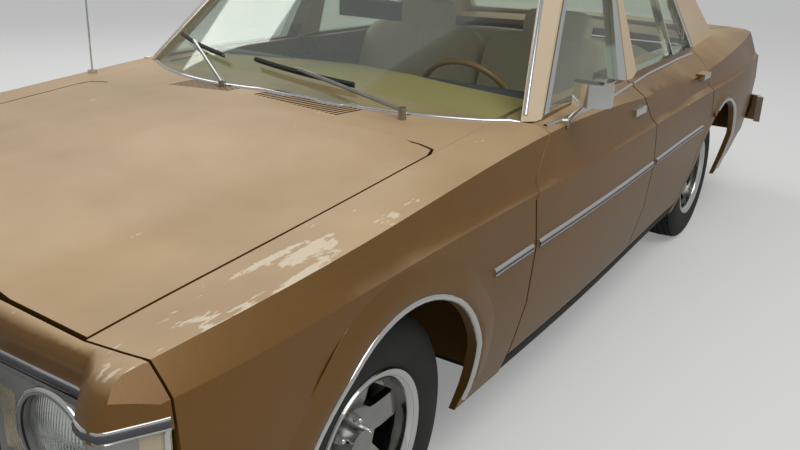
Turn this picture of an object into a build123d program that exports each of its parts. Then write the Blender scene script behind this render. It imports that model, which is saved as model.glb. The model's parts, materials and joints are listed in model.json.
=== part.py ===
from build123d import *
import math
import os

# A compact four-door saloon car of the middle 1970s, in millimetres.
# +X is forward, +Y is the car's left and +Z is up. The origin is on the ground,
# under the middle of the car's length and width.

# Overall sizes
overall_length = 5022
half_width = 930
roof_z = 1354
wheelbase = 2791
track_front = 1499
track_rear = 1466

# Places along the car
front_bumper_x = overall_length / 2
rear_bumper_x = -overall_length / 2
front_axle_x = front_bumper_x - 931
rear_axle_x = front_axle_x - wheelbase
nose_x = front_axle_x + 720
seam_x = front_axle_x + 609
hood_rear_x = front_axle_x - 490
door_front_x = front_axle_x - 633
door_mid_x = front_axle_x - 1667
door_rear_x = rear_axle_x + 246
backlight_base_x = rear_axle_x - 479
tail_x = rear_bumper_x + 108

# Heights
crease_z = 795
belt_z = 938
deck_z = 985
rocker_z = 236
sill_top_z = 292
jack_z = 250
door_bottom_z = 300
floor_z = 255
trunk_floor_z = 480

# Walls and gaps
skin = 25
door_depth = 90
glass_t = 5
pillar_wall = 30
panel_gap = 8
frame_gap = 12
seat_gap = 0.3
lip = 25

# Wheels
tyre_r = 325
tyre_w = 195
rim_r = 178
rim_w = 176
arch_r = 385
hub_z = tyre_r - 7


def wheel_place(end, side):
    """X, Y and Z of a wheel's centre; end is front or rear, side is 1 or -1."""
    x = front_axle_x if end == "front" else rear_axle_x
    track = track_front if end == "front" else track_rear
    return x, side * track / 2, tyre_r


# Making and joining solids

def as_solids(shape):
    return list(shape.solids()) if hasattr(shape, "solids") else [s for x in shape for s in x.solids()]


def gather(*shapes):
    found = []
    for shape in shapes:
        found += as_solids(shape)
    return Compound(children=found) if len(found) != 1 else found[0]


def join(*shapes):
    parts = [s for shape in shapes for s in as_solids(shape)]
    result = parts[0].fuse(*parts[1:]) if len(parts) > 1 else parts[0]
    return gather(result)


def cut(shape, *tools):
    tool_solids = [s for tool in tools for s in as_solids(tool)]
    return gather(*[s.cut(*tool_solids) for s in as_solids(shape)])


def common(shape, *tools):
    result = gather(shape)
    for tool in tools:
        pieces = []
        for s in as_solids(result):
            for t in as_solids(tool):
                pieces += as_solids(s.intersect(t) or Compound(children=[]))
        result = gather(*pieces)
    return result


def extruded(points, direction):
    wire = Wire.make_polygon([Vector(*p) for p in points], close=True)
    return Solid.extrude(Face(wire), Vector(*direction))


def side_prism(outline, y0, y1):
    """Side-view outline of (x, z) points, carried across the car."""
    return extruded([(x, y0, z) for x, z in outline], (0, y1 - y0, 0))


def plan_prism(outline, z0, z1):
    return extruded([(x, y, z0) for x, y in outline], (0, 0, z1 - z0))


def front_prism(outline, x0, x1):
    return extruded([(x0, y, z) for y, z in outline], (x1 - x0, 0, 0))


def block(x0, x1, y0, y1, z0, z1):
    return side_prism([(x0, z0), (x1, z0), (x1, z1), (x0, z1)], y0, y1)


def rod(start, end, radius):
    a, b = Vector(*start), Vector(*end)
    return Solid.make_cylinder(radius, (b - a).length, Plane(a, z_dir=b - a))


def across(x, z, radius, y0, y1):
    return rod((x, y0, z), (x, y1, z), radius)


def mirrored(shape):
    return gather(*[s.mirror(Plane.XZ) for s in as_solids(shape)])


def both(shape):
    return gather(shape, mirrored(shape))


def turned(profile, x, y, z, side):
    """Profile of (radius, outward) points turned round the wheel's axle."""
    points = [Vector(x + r, y + side * w, z) for r, w in profile]
    face = Face(Wire.make_polygon(points, close=True))
    return Solid.revolve(face, 360, Axis((x, y, z), (0, 1, 0)))


# Lower body
# Each section has nine half-width points, top to bottom. The columns are the place
# along the car, the height of the middle over the crease, and for each line how far
# it lies in from the half width and up from the crease: shut line, belt, shoulder,
# ledge, crease, widest, tuck, rocker and lower edge.
sections = [
    (nose_x, 40, (235, 20), (148, 25), (98, 33), (76, 6), (62, -8), (46, -145), (56, -315), (90, -465), (118, -555)),
    (seam_x, 61, (230, 32), (138, 41), (80, 48), (52, 18), (36, -2), (20, -145), (30, -315), (64, -465), (92, -555)),
    (front_axle_x, 120, (233, 77), (130, 77), (74, 71), (42, 19), (21, 0), (3, -145), (15, -315), (50, -465), (80, -555)),
    (hood_rear_x - 40, 157, (248, 119), (118, 119), (73, 108), (38, 20), (16, 0), (2, -145), (15, -315), (50, -465), (80, -555)),
    (door_mid_x - 123, 180, (290, 160), (143, 143), (64, 85), (33, 20), (9, 1), (0, -145), (15, -315), (50, -465), (80, -555)),
    (rear_axle_x - 74, 190, (290, 173), (185, 155), (68, 89), (35, 17), (13, -1), (4, -145), (18, -315), (54, -465), (84, -555)),
    (rear_axle_x - 690, 182, (285, 165), (192, 153), (106, 110), (62, 11), (42, -6), (34, -145), (46, -315), (80, -465), (105, -555)),
    (tail_x - 20, 148, (292, 134), (202, 130), (170, 121), (125, 1), (104, -15), (98, -145), (108, -315), (130, -465), (155, -555)),
]


def body_form(inset):
    """The lower body as one solid, its walls moved in by inset."""
    top_drop = min(inset, 60)
    shoulder_drop = min(0.8 * inset, 45)
    ledge_drop = min(0.4 * inset, 12)
    shifts = [(0.6 * inset, top_drop), (0.6 * inset, top_drop), (0.8 * inset, shoulder_drop),
              (inset, ledge_drop)] + [(inset, 0)] * 5
    wires = []
    for x, middle_up, *lines in sections:
        half = [(0, crease_z + middle_up - top_drop)]
        for (inward, up), (narrower, lower) in zip(lines, shifts):
            half.append((half_width - inward - narrower, crease_z + up - lower))
        y, z = half[-1]
        half[-1] = (y, z - abs(inset))
        loop = half + [(-y, z) for y, z in reversed(half[1:])]
        wires.append(Wire.make_polygon([Vector(x, y, z) for y, z in loop], close=True))
    return Solid.make_loft(wires, ruled=False)


# Glasshouse
# The columns are the place along the car, the half width at the belt, the half
# width and height of the roof's corner, and the height of the middle.
roof_sections = [
    (front_axle_x - 580, 815, 700, 1290, 1320),
    (front_axle_x - 1260, 805, 688, 1300, 1338),
    (front_axle_x - 1830, 787, 672, 1312, roof_z),
    (front_axle_x - 2480, 762, 650, 1302, 1345),
    (front_axle_x - 3250, 727, 618, 1262, 1305),
]
roof_corner = 48
glass_low_z = 900
windshield_base_x = front_axle_x - 605
windshield_base_z = 955
windshield_lean = 1.27
windshield_bow_r = 2000
backlight_lean = 1.457
backlight_bow_r = 4500


def roof_loop(x, belt_y, corner_y, corner_z, top_z, inset):
    corner = Vector(x, corner_y - inset, corner_z - 0.7 * inset)
    slope = (belt_y - corner_y) / (corner_z - belt_z)
    foot = Vector(x, corner_y - inset + slope * (corner_z - glass_low_z), glass_low_z - inset)
    top = Vector(x, 0, top_z - inset)
    size = roof_corner - 0.3 * inset
    side_dir = (foot - corner).normalized()
    top_dir = (Vector(x, 0, top_z - 0.2 * (top_z - corner_z) - inset) - corner).normalized()
    start, end = corner + side_dir * size, corner + top_dir * size
    middle = (start + end) * 0.5 + (corner - (start + end) * 0.5) * 0.42

    def flip(p):
        return Vector(p.X, -p.Y, p.Z)

    return Wire([
        Edge.make_line(foot, start),
        Edge.make_three_point_arc(start, middle, end),
        Edge.make_three_point_arc(end, top, flip(end)),
        Edge.make_three_point_arc(flip(end), flip(middle), flip(start)),
        Edge.make_line(flip(start), flip(foot)),
        Edge.make_line(flip(foot), foot),
    ])


def bowed(base_x, base_z, lean, forward, radius, inset):
    """Half of space behind a leaning, bowed pane, as a wide cylinder."""
    angle = math.atan(lean)
    axis = Vector(-forward * math.sin(angle), 0, math.cos(angle))
    outward = Vector(forward * math.cos(angle), 0, math.sin(angle))
    centre = Vector(base_x, 0, base_z) - outward * radius
    reach = 3000
    return Solid.make_cylinder(radius - inset, 2 * reach, Plane(centre - axis * reach, z_dir=axis))


def windshield_space(inset):
    return bowed(windshield_base_x, windshield_base_z, windshield_lean, 1, windshield_bow_r, inset)


def backlight_space(inset):
    return bowed(backlight_base_x, deck_z, backlight_lean, -1, backlight_bow_r, inset)


def glasshouse(inset, pane_inset):
    wires = [roof_loop(*row, inset) for row in roof_sections]
    form = Solid.make_loft(wires, ruled=False)
    return common(form, windshield_space(pane_inset), backlight_space(pane_inset))


# Cuts between the panels, as side-view lines from the bottom up
front_cut = [
    (door_front_x, 0), (door_front_x, crease_z - 15), (door_front_x - 51, crease_z + 35),
    (door_front_x - 195, belt_z - 14), (door_front_x - 255, belt_z + 10), (door_front_x - 590, 1262),
    (door_front_x - 612, 1288),
]
mid_cut = [(door_mid_x, 0), (door_mid_x - 6, belt_z), (door_mid_x - 63, 1288)]
# The front door's own rear edge stands further off above the crease, where it swings back as it opens.
swing_cut = [(door_mid_x, 0), (door_mid_x - 5, crease_z), (door_mid_x - 3, belt_z), (door_mid_x - 52, 1288)]
rear_arch_cut_r = arch_r + 50
rear_cut = [
    (rear_axle_x + rear_arch_cut_r, 0), (rear_axle_x + rear_arch_cut_r, tyre_r),
    (rear_axle_x + 0.9 * rear_arch_cut_r, tyre_r + 0.436 * rear_arch_cut_r),
    (rear_axle_x + 0.74 * rear_arch_cut_r, tyre_r + 0.673 * rear_arch_cut_r),
    (door_rear_x, tyre_r + 0.83 * rear_arch_cut_r), (door_rear_x, crease_z + 30),
    (door_rear_x - 150, belt_z - 6), (door_rear_x - 190, belt_z + 10), (door_rear_x + 75, 1255),
    (door_rear_x + 95, 1282),
]
door_top_z = 1284


def shifted(line, distance):
    return [(x + distance, z) for x, z in line]


def door_outline(ahead, behind, inset):
    """Side-view outline of a door between two cuts, drawn in by inset."""
    half_gap = panel_gap / 2
    low = door_bottom_z + inset
    high = door_top_z - inset
    front = [(x, min(max(z, low), high)) for x, z in shifted(ahead, -half_gap - inset)]
    back = [(x, min(max(z, low), high)) for x, z in shifted(behind, half_gap + inset)]
    return front + back[::-1]


front_window = [
    (door_front_x - 295, belt_z + 12), (door_mid_x + 89, belt_z + 18),
    (door_mid_x - 5, 1258), (door_front_x - 622, 1258),
]
rear_window = [
    (door_mid_x - 139, belt_z + 18), (door_rear_x - 147, belt_z + 14),
    (door_rear_x + 93, 1238), (door_mid_x - 113, 1256),
]
divider = [
    (rear_axle_x + 429, belt_z), (rear_axle_x + 415, belt_z),
    (rear_axle_x + 560, 1270), (rear_axle_x + 574, 1270),
]

outer_body = body_form(0)
inner_body = body_form(skin)
body_clear = body_form(-seat_gap)
door_inner = body_form(door_depth)
door_seat = body_form(door_depth + seat_gap)
post_inner = body_form(door_depth + 40)
hood_under = body_form(skin + seat_gap)
gutter_under = body_form(skin + 20)
body_shell = cut(outer_body, inner_body)
outer_glasshouse = glasshouse(0, 0)
inner_glasshouse = glasshouse(pillar_wall, pillar_wall)
glasshouse_shell = cut(outer_glasshouse, inner_glasshouse)
wide = 1200
post_y = 690


def arch_cut(axle_x):
    """Round opening over a left wheel."""
    return across(axle_x, hub_z, arch_r, 560, wide)



# Doors
handle_length = 110


def door(ahead, behind, window, bars, inner_y, frame_y, handle_x, handle_y, *cutters):
    outline = side_prism(door_outline(ahead, behind, 0), frame_y, wide)
    core_outline = side_prism(door_outline(ahead, behind, lip), inner_y, wide)
    low = block(-3000, 3000, inner_y, wide, 0, belt_z + 40)
    outer = common(body_shell, outline, low)
    core = common(cut(inner_body, door_inner), core_outline, low)
    frame = common(glasshouse_shell, outline)
    bar_pieces = [common(glasshouse_shell, side_prism(bar, inner_y - 200, wide)) for bar in bars]
    opening = side_prism(window, inner_y - 300, wide)
    leaf = cut(join(outer, core, frame), opening, *cutters)
    handle = block(handle_x - handle_length / 2, handle_x + handle_length / 2,
                   handle_y - 25, handle_y + 14, crease_z + 56, crease_z + 80)
    return join(leaf, handle, *bar_pieces)


def pane(window, bars):
    """Door glass that lies in the middle of the frame's thickness."""
    shell = cut(glasshouse(9, 0), glasshouse(9 + glass_t, 0))
    middle_x = sum(x for x, z in window) / len(window)
    middle_z = sum(z for x, z in window) / len(window)
    size = max(x for x, z in window) - min(x for x, z in window)
    share = 1 - 2 * seat_gap / size
    drawn = [(middle_x + (x - middle_x) * share, middle_z + (z - middle_z) * share) for x, z in window]
    glass = common(shell, side_prism(drawn, 400, wide))
    fat_bars = [
        side_prism([(bar[0][0] + 1, bar[0][1]), (bar[1][0] - 1, bar[1][1]),
                    (bar[2][0] - 1, bar[2][1]), (bar[3][0] + 1, bar[3][1])], 300, wide)
        for bar in bars
    ]
    return cut(glass, body_clear, *fat_bars)


swing_x = door_mid_x + 1
swing_bevel = plan_prism([(swing_x - 30, 690), (swing_x + 22, 690), (swing_x - 1, 802), (swing_x - 30, 802)],
                         860, belt_z + 20)
front_door = door(front_cut, swing_cut, front_window, [], 708, 650, door_mid_x + 121, 884, swing_bevel)
rear_door = door(mid_cut, rear_cut, rear_window, [divider], 660, 660, door_rear_x + 66, 880,
                 arch_cut(rear_axle_x))
front_pane = pane(front_window, [])
rear_pane = pane(rear_window, [divider])


# Front fenders, with the gutter flange that the hood's edge lies over
hood_front_x = seam_x - 1
fender_rear = shifted(front_cut[:4], panel_gap / 2)
fender_outline = [(seam_x - 3, rocker_z), (seam_x - 3, 1000), (fender_rear[-1][0], 1000)]
fender_outline += fender_rear[::-1][:-1] + [(fender_rear[0][0], rocker_z)]
shut_y = 694
hood_gap = 6


def make_fender():
    plan = plan_prism([(nose_x, shut_y + hood_gap), (nose_x, wide), (0, wide),
                       (0, shut_y + hood_gap)], 0, 1100)
    leaf = common(body_shell, side_prism(fender_outline, 0, wide), plan)
    strip = plan_prism([(seam_x - 3, shut_y - 30), (seam_x - 3, shut_y + 60), (hood_rear_x, shut_y + 60),
                        (hood_rear_x, shut_y - 30)], 600, 1100)
    gutter = common(cut(hood_under, gutter_under), strip)
    below = common(cut(inner_body, gutter_under), plan_prism(
        [(seam_x - 3, shut_y + hood_gap), (seam_x - 3, shut_y + 60),
         (hood_rear_x, shut_y + 60), (hood_rear_x, shut_y + hood_gap)], 600, 1100))
    return cut(join(leaf, gutter, below), arch_cut(front_axle_x))


left_fender = make_fender()
front_fenders = both(left_fender)

# Hood and trunk lid
hood_plan = [
    (hood_front_x - panel_gap, -shut_y), (hood_front_x - panel_gap, shut_y),
    (hood_rear_x + 60, shut_y), (hood_rear_x + 18, shut_y - 14), (hood_rear_x + 4, shut_y - 60),
    (hood_rear_x, 0), (hood_rear_x + 4, -shut_y + 60), (hood_rear_x + 18, -shut_y + 14),
    (hood_rear_x + 60, -shut_y),
]
hood_panel = plan_prism(hood_plan, 600, 1100)
raised = 5
raised_table = ((hood_front_x, 490, 836), (hood_rear_x - 40, 617, 918))
raised_slope = 4


def raised_section(x, half, z):
    """Trapezium whose leaning sides cross the hood's top at the half width."""
    low, high = z - 60, z + 60
    reach = raised_slope * 60
    corners = [(-half - reach, low), (half + reach, low), (half - reach, high), (-half + reach, high)]
    return Wire.make_polygon([Vector(x, y, z) for y, z in corners], close=True)


raised_form = Solid.make_loft([raised_section(*row) for row in raised_table], ruled=True)
hood_rise = common(cut(body_form(-raised), inner_body), raised_form, hood_panel)
hood = join(common(body_shell, hood_panel), hood_rise)

lid_front_x = backlight_base_x - 60
lid_y = 640
lid_low_z = 800
lid_plan = [
    (lid_front_x, -lid_y), (lid_front_x, lid_y), (tail_x - 30, lid_y), (tail_x - 30, -lid_y),
]
tail_form = side_prism([
    (nose_x, 0), (nose_x, 1200), (tail_x + 60, 1200), (tail_x + 40, deck_z - 40), (tail_x + 12, deck_z - 66),
    (tail_x, deck_z - 110), (tail_x + 10, rocker_z + 100), (tail_x + 30, 0),
], -wide, wide)
tail_inner = side_prism([
    (nose_x, 0), (nose_x, 1200), (tail_x + 60 + skin, 1200), (tail_x + 40 + skin, deck_z - 40),
    (tail_x + 12 + skin, deck_z - 66), (tail_x + skin, deck_z - 110),
    (tail_x + 10 + skin, rocker_z + 100), (tail_x + 30 + skin, 0),
], -wide, wide)
rear_shell = cut(common(outer_body, tail_form), common(inner_body, tail_inner))
trunk_lid = common(rear_shell, plan_prism(lid_plan, lid_low_z, 1100))

# Cowl and firewall
cowl_plan = [
    (hood_rear_x - panel_gap, 0), (hood_rear_x - panel_gap + 4, shut_y - 58),
    (hood_rear_x - panel_gap + 18, shut_y - 8), (hood_rear_x + 54 - panel_gap, shut_y + hood_gap - 0.5),
    (door_front_x - 180, shut_y + hood_gap - 0.5), (door_front_x - 180, -shut_y - hood_gap + 0.5),
    (hood_rear_x + 54 - panel_gap, -shut_y - hood_gap + 0.5), (hood_rear_x - panel_gap + 18, -shut_y + 8),
    (hood_rear_x - panel_gap + 4, -shut_y + 58),
]
firewall_x = front_axle_x - 570
cowl_top = common(body_shell, plan_prism(cowl_plan, 600, 1100))
fender_clear = body_form(skin + 1)
firewall_half = shut_y + hood_gap - 0.5
firewall = common(inner_body, block(firewall_x - 12, firewall_x, -firewall_half, firewall_half, floor_z + 12, 1000))
firewall_end = common(fender_clear, block(firewall_x - 12, firewall_x, firewall_half - 10, 770, floor_z + 12, 1000))
hinge_post = common(cut(fender_clear, post_inner),
                    block(door_front_x - 4, firewall_x, post_y, wide, sill_top_z, crease_z + 70))
firewall = cut(firewall, block(firewall_x - 20, firewall_x + 5, -110, 110, 0, floor_z + 190))
cowl = join(cowl_top, firewall, firewall_end, mirrored(firewall_end), hinge_post, mirrored(hinge_post))

louvre_pitch = 17
louvre_length = 92
louvre_groups = ((15, 345), (-360, -80))
louvre_x = hood_rear_x - 96


def louvre(y):
    return plan_prism([
        (louvre_x + louvre_length / 2, y - 4 - 14), (louvre_x + louvre_length / 2, y + 4 - 14),
        (louvre_x - louvre_length / 2, y + 4 + 14), (louvre_x - louvre_length / 2, y - 4 + 14),
    ], 880, 1100)


louvres = []
for low_y, high_y in louvre_groups:
    for step in range(int((high_y - low_y) / louvre_pitch)):
        louvres.append(louvre(low_y + (step + 0.5) * louvre_pitch))
cowl = cut(cowl, *louvres)

# Rear body: both quarters, the tail panel, the gutter round the lid and the shelf under the glass
cabin_rear_x = rear_axle_x - 51
rear_outline = shifted(rear_cut[:8], -panel_gap / 2)
quarter_side = [(rear_outline[0][0], rocker_z)] + rear_outline[1:] + [
    (rear_outline[-1][0], 1100), (tail_x - 40, 1100), (tail_x - 40, rocker_z + 100),
    (rear_axle_x - 600, rocker_z + 60), (rear_axle_x - 350, rocker_z)]
quarters = common(rear_shell, side_prism(quarter_side, -wide, wide))
lid_hole = plan_prism([
    (lid_front_x + panel_gap, -lid_y - hood_gap), (lid_front_x + panel_gap, lid_y + hood_gap),
    (tail_x - 60, lid_y + hood_gap), (tail_x - 60, -lid_y - hood_gap)], lid_low_z - panel_gap, 1100)
cabin_hole = block(cabin_rear_x, 1000, -700, 700, 900, 1100)
gutter_band = cut(
    block(tail_x + 80, lid_front_x + 30, -lid_y - 40, lid_y + 40, 900, 1100),
    block(tail_x + 40, lid_front_x - 20, -lid_y + 24, lid_y - 24, 890, 1110))
lid_gutter = common(cut(hood_under, gutter_under), gutter_band)
gutter_back = common(cut(inner_body, gutter_under), cut(
    block(tail_x + 80, lid_front_x + 30, -lid_y - 40, lid_y + 40, 900, 1100),
    block(tail_x + 40, lid_front_x + panel_gap, -lid_y - hood_gap, lid_y + hood_gap, 890, 1110)))
jamb = common(cut(door_seat, post_inner), block(
    door_rear_x - 40, door_rear_x + lip + 25, post_y, wide, tyre_r + 0.83 * rear_arch_cut_r, belt_z - 30))
jamb_tie = common(cut(inner_body, post_inner), block(
    door_rear_x - 40, door_rear_x - 12, post_y, wide, tyre_r + 0.83 * rear_arch_cut_r, crease_z + 25))
rear_body = join(cut(quarters, lid_hole, cabin_hole), lid_gutter, gutter_back,
                 jamb, mirrored(jamb), jamb_tie, mirrored(jamb_tie))
rear_body = cut(rear_body, arch_cut(rear_axle_x), mirrored(arch_cut(rear_axle_x)))

# Tail lamps, let into the tail panel's ends
lamp_low_z, lamp_high_z = 640, 775
lamp_in_y, lamp_out_y = 470, 800


def lamp_block(grow):
    return block(tail_x - 40, tail_x + skin + 6, lamp_in_y - grow, lamp_out_y + grow,
                 lamp_low_z - grow, lamp_high_z + grow)


rear_body = cut(rear_body, lamp_block(seat_gap), mirrored(lamp_block(seat_gap)))
tail_lamp = common(lamp_block(0), outer_body, side_prism([
    (tail_x - 6, 0), (tail_x + skin, 0), (tail_x + skin, 1200), (tail_x - 6, 1200)], -wide, wide))
tail_lamps = both(tail_lamp)

# Number plate holes, front and rear
plate_pitch = 177.8
plate_hole_r = 3.5
rear_plate_z = 700
plate_holes_rear = [rod((tail_x - 50, side * plate_pitch / 2, rear_plate_z),
                        (tail_x + 60, side * plate_pitch / 2, rear_plate_z), plate_hole_r) for side in (1, -1)]
rear_body = cut(rear_body, *plate_holes_rear)

# Floor: pan, tunnel, sills, posts, rails and trunk floor
pan_front_x = firewall_x - 12.3
pan_rear_x = rear_axle_x + 480
floor_t = 12
pan = block(pan_rear_x, pan_front_x + 12, -800, 800, floor_z, floor_z + floor_t)
tunnel_w, tunnel_h = 280, 190
tunnel_outer = front_prism([(-tunnel_w / 2, floor_z), (-tunnel_w / 2 + 50, floor_z + tunnel_h),
                            (tunnel_w / 2 - 50, floor_z + tunnel_h), (tunnel_w / 2, floor_z)],
                           pan_rear_x, pan_front_x)
tunnel_inner = front_prism([(-tunnel_w / 2 + 12, floor_z - 5), (-tunnel_w / 2 + 58, floor_z + tunnel_h - 12),
                            (tunnel_w / 2 - 58, floor_z + tunnel_h - 12), (tunnel_w / 2 - 12, floor_z - 5)],
                           pan_rear_x - 5, pan_front_x + 20)
sill_rear_x = rear_axle_x + rear_arch_cut_r
sill = common(outer_body, block(sill_rear_x + panel_gap / 2, door_front_x - 1, 760, wide, jack_z, sill_top_z))
centre_post = common(cut(door_seat, post_inner),
                     block(door_mid_x - 58, door_mid_x + 52, post_y, wide, sill_top_z - 5, belt_z - 12))
kick_x = pan_rear_x
kick = cut(block(kick_x - 12, kick_x, -620, 620, floor_z, trunk_floor_z + 12),
           block(kick_x - 30, kick_x + 5, -75, 75, 0, floor_z + 170))
rear_end_x = tail_x + skin + 12
trunk_floor = block(rear_end_x, kick_x, -620, 620, trunk_floor_z, trunk_floor_z + 12)
rail_y, rail_w, rail_h = 420, 80, 110
front_rail_z = 300
front_rail = side_prism([
    (pan_front_x - 250, floor_z - 25), (pan_front_x - 250, floor_z), (pan_front_x, floor_z),
    (firewall_x + 60, front_rail_z + rail_h), (seam_x - 30, front_rail_z + rail_h),
    (seam_x - 30, front_rail_z), (firewall_x + 90, front_rail_z), (pan_front_x, floor_z - 25),
], rail_y - rail_w / 2, rail_y + rail_w / 2)
rear_rail = side_prism([
    (rear_end_x, trunk_floor_z - 70), (rear_end_x, trunk_floor_z), (kick_x, trunk_floor_z),
    (kick_x, floor_z), (kick_x + 120, floor_z), (kick_x + 120, floor_z - 25), (kick_x - 20, floor_z - 25),
    (kick_x - 120, trunk_floor_z - 70),
], rail_y - rail_w / 2, rail_y + rail_w / 2)
radiator_wall = block(seam_x - 60, seam_x + 2 - seat_gap, -560, 560, front_rail_z + rail_h - 20, crease_z - 60)
radiator_wall = cut(radiator_wall, block(seam_x - 80, seam_x + 20, -300, 300, front_rail_z + rail_h + 30, crease_z - 110))
floor_pan = join(cut(join(pan, tunnel_outer), tunnel_inner), sill, mirrored(sill), centre_post,
                 mirrored(centre_post), kick, trunk_floor, front_rail, mirrored(front_rail),
                 rear_rail, mirrored(rear_rail), radiator_wall)
cowl = cut(cowl, front_rail, mirrored(front_rail))
floor_pan = cut(floor_pan, across(front_axle_x, hub_z, arch_r + 5, 500, wide),
                across(front_axle_x, hub_z, arch_r + 5, -wide, -500))

# Roof and pillars, with their openings
windshield_frame = [(-770, 925), (770, 925), (628, 1292), (-628, 1292)]
backlight_frame = [(-640, deck_z + 16), (640, deck_z + 16), (560, 1290), (-560, 1290)]


def drawn_in(outline, distance):
    middle_y = sum(p[0] for p in outline) / len(outline)
    middle_z = sum(p[1] for p in outline) / len(outline)
    return [(y - math.copysign(distance, y - middle_y), z - math.copysign(distance, z - middle_z))
            for y, z in outline]


windshield_hole = front_prism(windshield_frame, front_axle_x - 1400, front_axle_x)
backlight_hole = front_prism(backlight_frame, rear_axle_x - 900, rear_axle_x + 100)
roof = cut(glasshouse_shell, windshield_hole, backlight_hole, body_clear)
cabin_side = [
    (x + frame_gap / 2, z) for x, z in front_cut[3:]
] + [(front_cut[-1][0] + frame_gap / 2 - 5, door_top_z + 6), (rear_cut[-1][0] - frame_gap / 2, door_top_z + 6)] + [
    (x - frame_gap / 2, z) for x, z in rear_cut[:5:-1]
] + [(rear_cut[6][0], belt_z - 60), (front_cut[3][0], belt_z - 60)]
roof = cut(roof, side_prism(cabin_side, 300, wide), side_prism(cabin_side, -wide, -300))

windshield = common(cut(windshield_space(6), windshield_space(6 + glass_t)),
                    front_prism(drawn_in(windshield_frame, seat_gap), front_axle_x - 1300, front_axle_x))
backlight = common(cut(backlight_space(6), backlight_space(6 + glass_t)),
                   front_prism(drawn_in(backlight_frame, seat_gap), rear_axle_x - 900, rear_axle_x + 100))
windshield = cut(windshield, body_clear)
fixed_glass = gather(windshield, cut(backlight, body_clear))

# Header panel over the grille: it rolls down to the trim line, and its ends run out into prows
header_x = front_axle_x + 646
prow_x, prow_y = front_axle_x + 712, 826
header_rear_x = seam_x + 2
fascia_low_z = 556
chrome_z = crease_z - 50
header_wall = 14
hollow_y = 728
roll_table = (
    (0, header_x, chrome_z + 44, crease_z + 61), (600, header_x - 2, chrome_z + 44, crease_z + 36),
    (hollow_y + 10, header_x - 4, chrome_z + 40, crease_z + 36), (prow_y - 34, prow_x - 8, chrome_z + 14, crease_z + 42),
    (prow_y, prow_x, chrome_z + 8, crease_z + 46), (wide, prow_x, chrome_z + 8, crease_z + 46),
)


def roll_section(y, face_x, arc_z, top_z):
    """Side-view section of the header: an upright face rolled back into the top."""
    rear = header_rear_x
    middle = Vector(rear + 0.76 * (face_x - rear), y, arc_z + 0.72 * (top_z - arc_z))
    corners = [Vector(x, y, z) for x, z in ((rear, top_z), (rear, chrome_z), (face_x, chrome_z), (face_x, arc_z))]
    lines = [Edge.make_line(a, b) for a, b in zip(corners, corners[1:])]
    return Wire(lines + [Edge.make_three_point_arc(corners[3], middle, corners[0])])


def prow_plan():
    """Plan of the left half, with the prow's side drawn in and its corner rounded."""
    side_end, nose = Vector(prow_x - 15, prow_y + 27, 0), Vector(prow_x, prow_y - 2, 0)
    corners = [nose, Vector(prow_x, 0, 0), Vector(header_rear_x, 0, 0), Vector(header_rear_x, 900, 0), side_end]
    lines = [Edge.make_line(a, b) for a, b in zip(corners, corners[1:])]
    corner = Edge.make_three_point_arc(side_end, Vector(prow_x - 4, prow_y + 15, 0), nose)
    return Solid.extrude(Face(Wire(lines + [corner])), Vector(0, 0, 1200))


roll_form = Solid.make_loft([roll_section(*row) for row in roll_table], ruled=True)
header_inner = side_prism([
    (seam_x - 20, chrome_z - 10), (seam_x - 20, crease_z + 12), (header_x - 30, crease_z + 8),
    (header_x - 4 - header_wall, crease_z - 14), (header_x - 4 - header_wall, chrome_z - 10)], -hollow_y, hollow_y)
header_top = cut(both(common(outer_body, roll_form, prow_plan())), header_inner)
lamp_panel_x = header_rear_x + 12
lamp_panel = block(header_rear_x, lamp_panel_x, -868, 868, fascia_low_z, chrome_z + 4)
header = join(header_top, lamp_panel)

# Headlamps, parking lamps and side marker lamps
lamp_y, lamp_z, lamp_r = 668, 650, 89
lamp_face_x = front_axle_x + 662
parking_y, parking_z, parking_w, parking_h = 545, 650, 46, 120
lamp_back_x = lamp_panel_x + seat_gap
marker_low_z, marker_high_z = fascia_low_z + 16, chrome_z - seat_gap
marker_plan = [(header_rear_x + 2, 893), (prow_x - 56, 870), (prow_x - 60, 858), (header_rear_x + 2, 880)]
lamp_bodies = []
for side in (1, -1):
    steps = [(share, 16 * share * share) for share in (1, 0.75, 0.5, 0.25, 0)]
    loop = [Vector(lamp_back_x, side * lamp_y, lamp_z), Vector(lamp_back_x, side * lamp_y, lamp_z + lamp_r)]
    loop += [Vector(lamp_face_x - back, side * lamp_y, lamp_z + lamp_r * share) for share, back in steps]
    half = Face(Wire.make_polygon(loop, close=True))
    lamp_bodies.append(Solid.revolve(half, 360, Axis((seam_x, side * lamp_y, lamp_z), (1, 0, 0))))
    lamp_bodies.append(block(lamp_back_x, lamp_face_x - 2, side * parking_y - parking_w / 2,
                             side * parking_y + parking_w / 2, parking_z - parking_h / 2,
                             parking_z + parking_h / 2))
marker_lamp = plan_prism(marker_plan, marker_low_z, marker_high_z)
front_lamps = gather(*lamp_bodies, marker_lamp, mirrored(marker_lamp))

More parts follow.
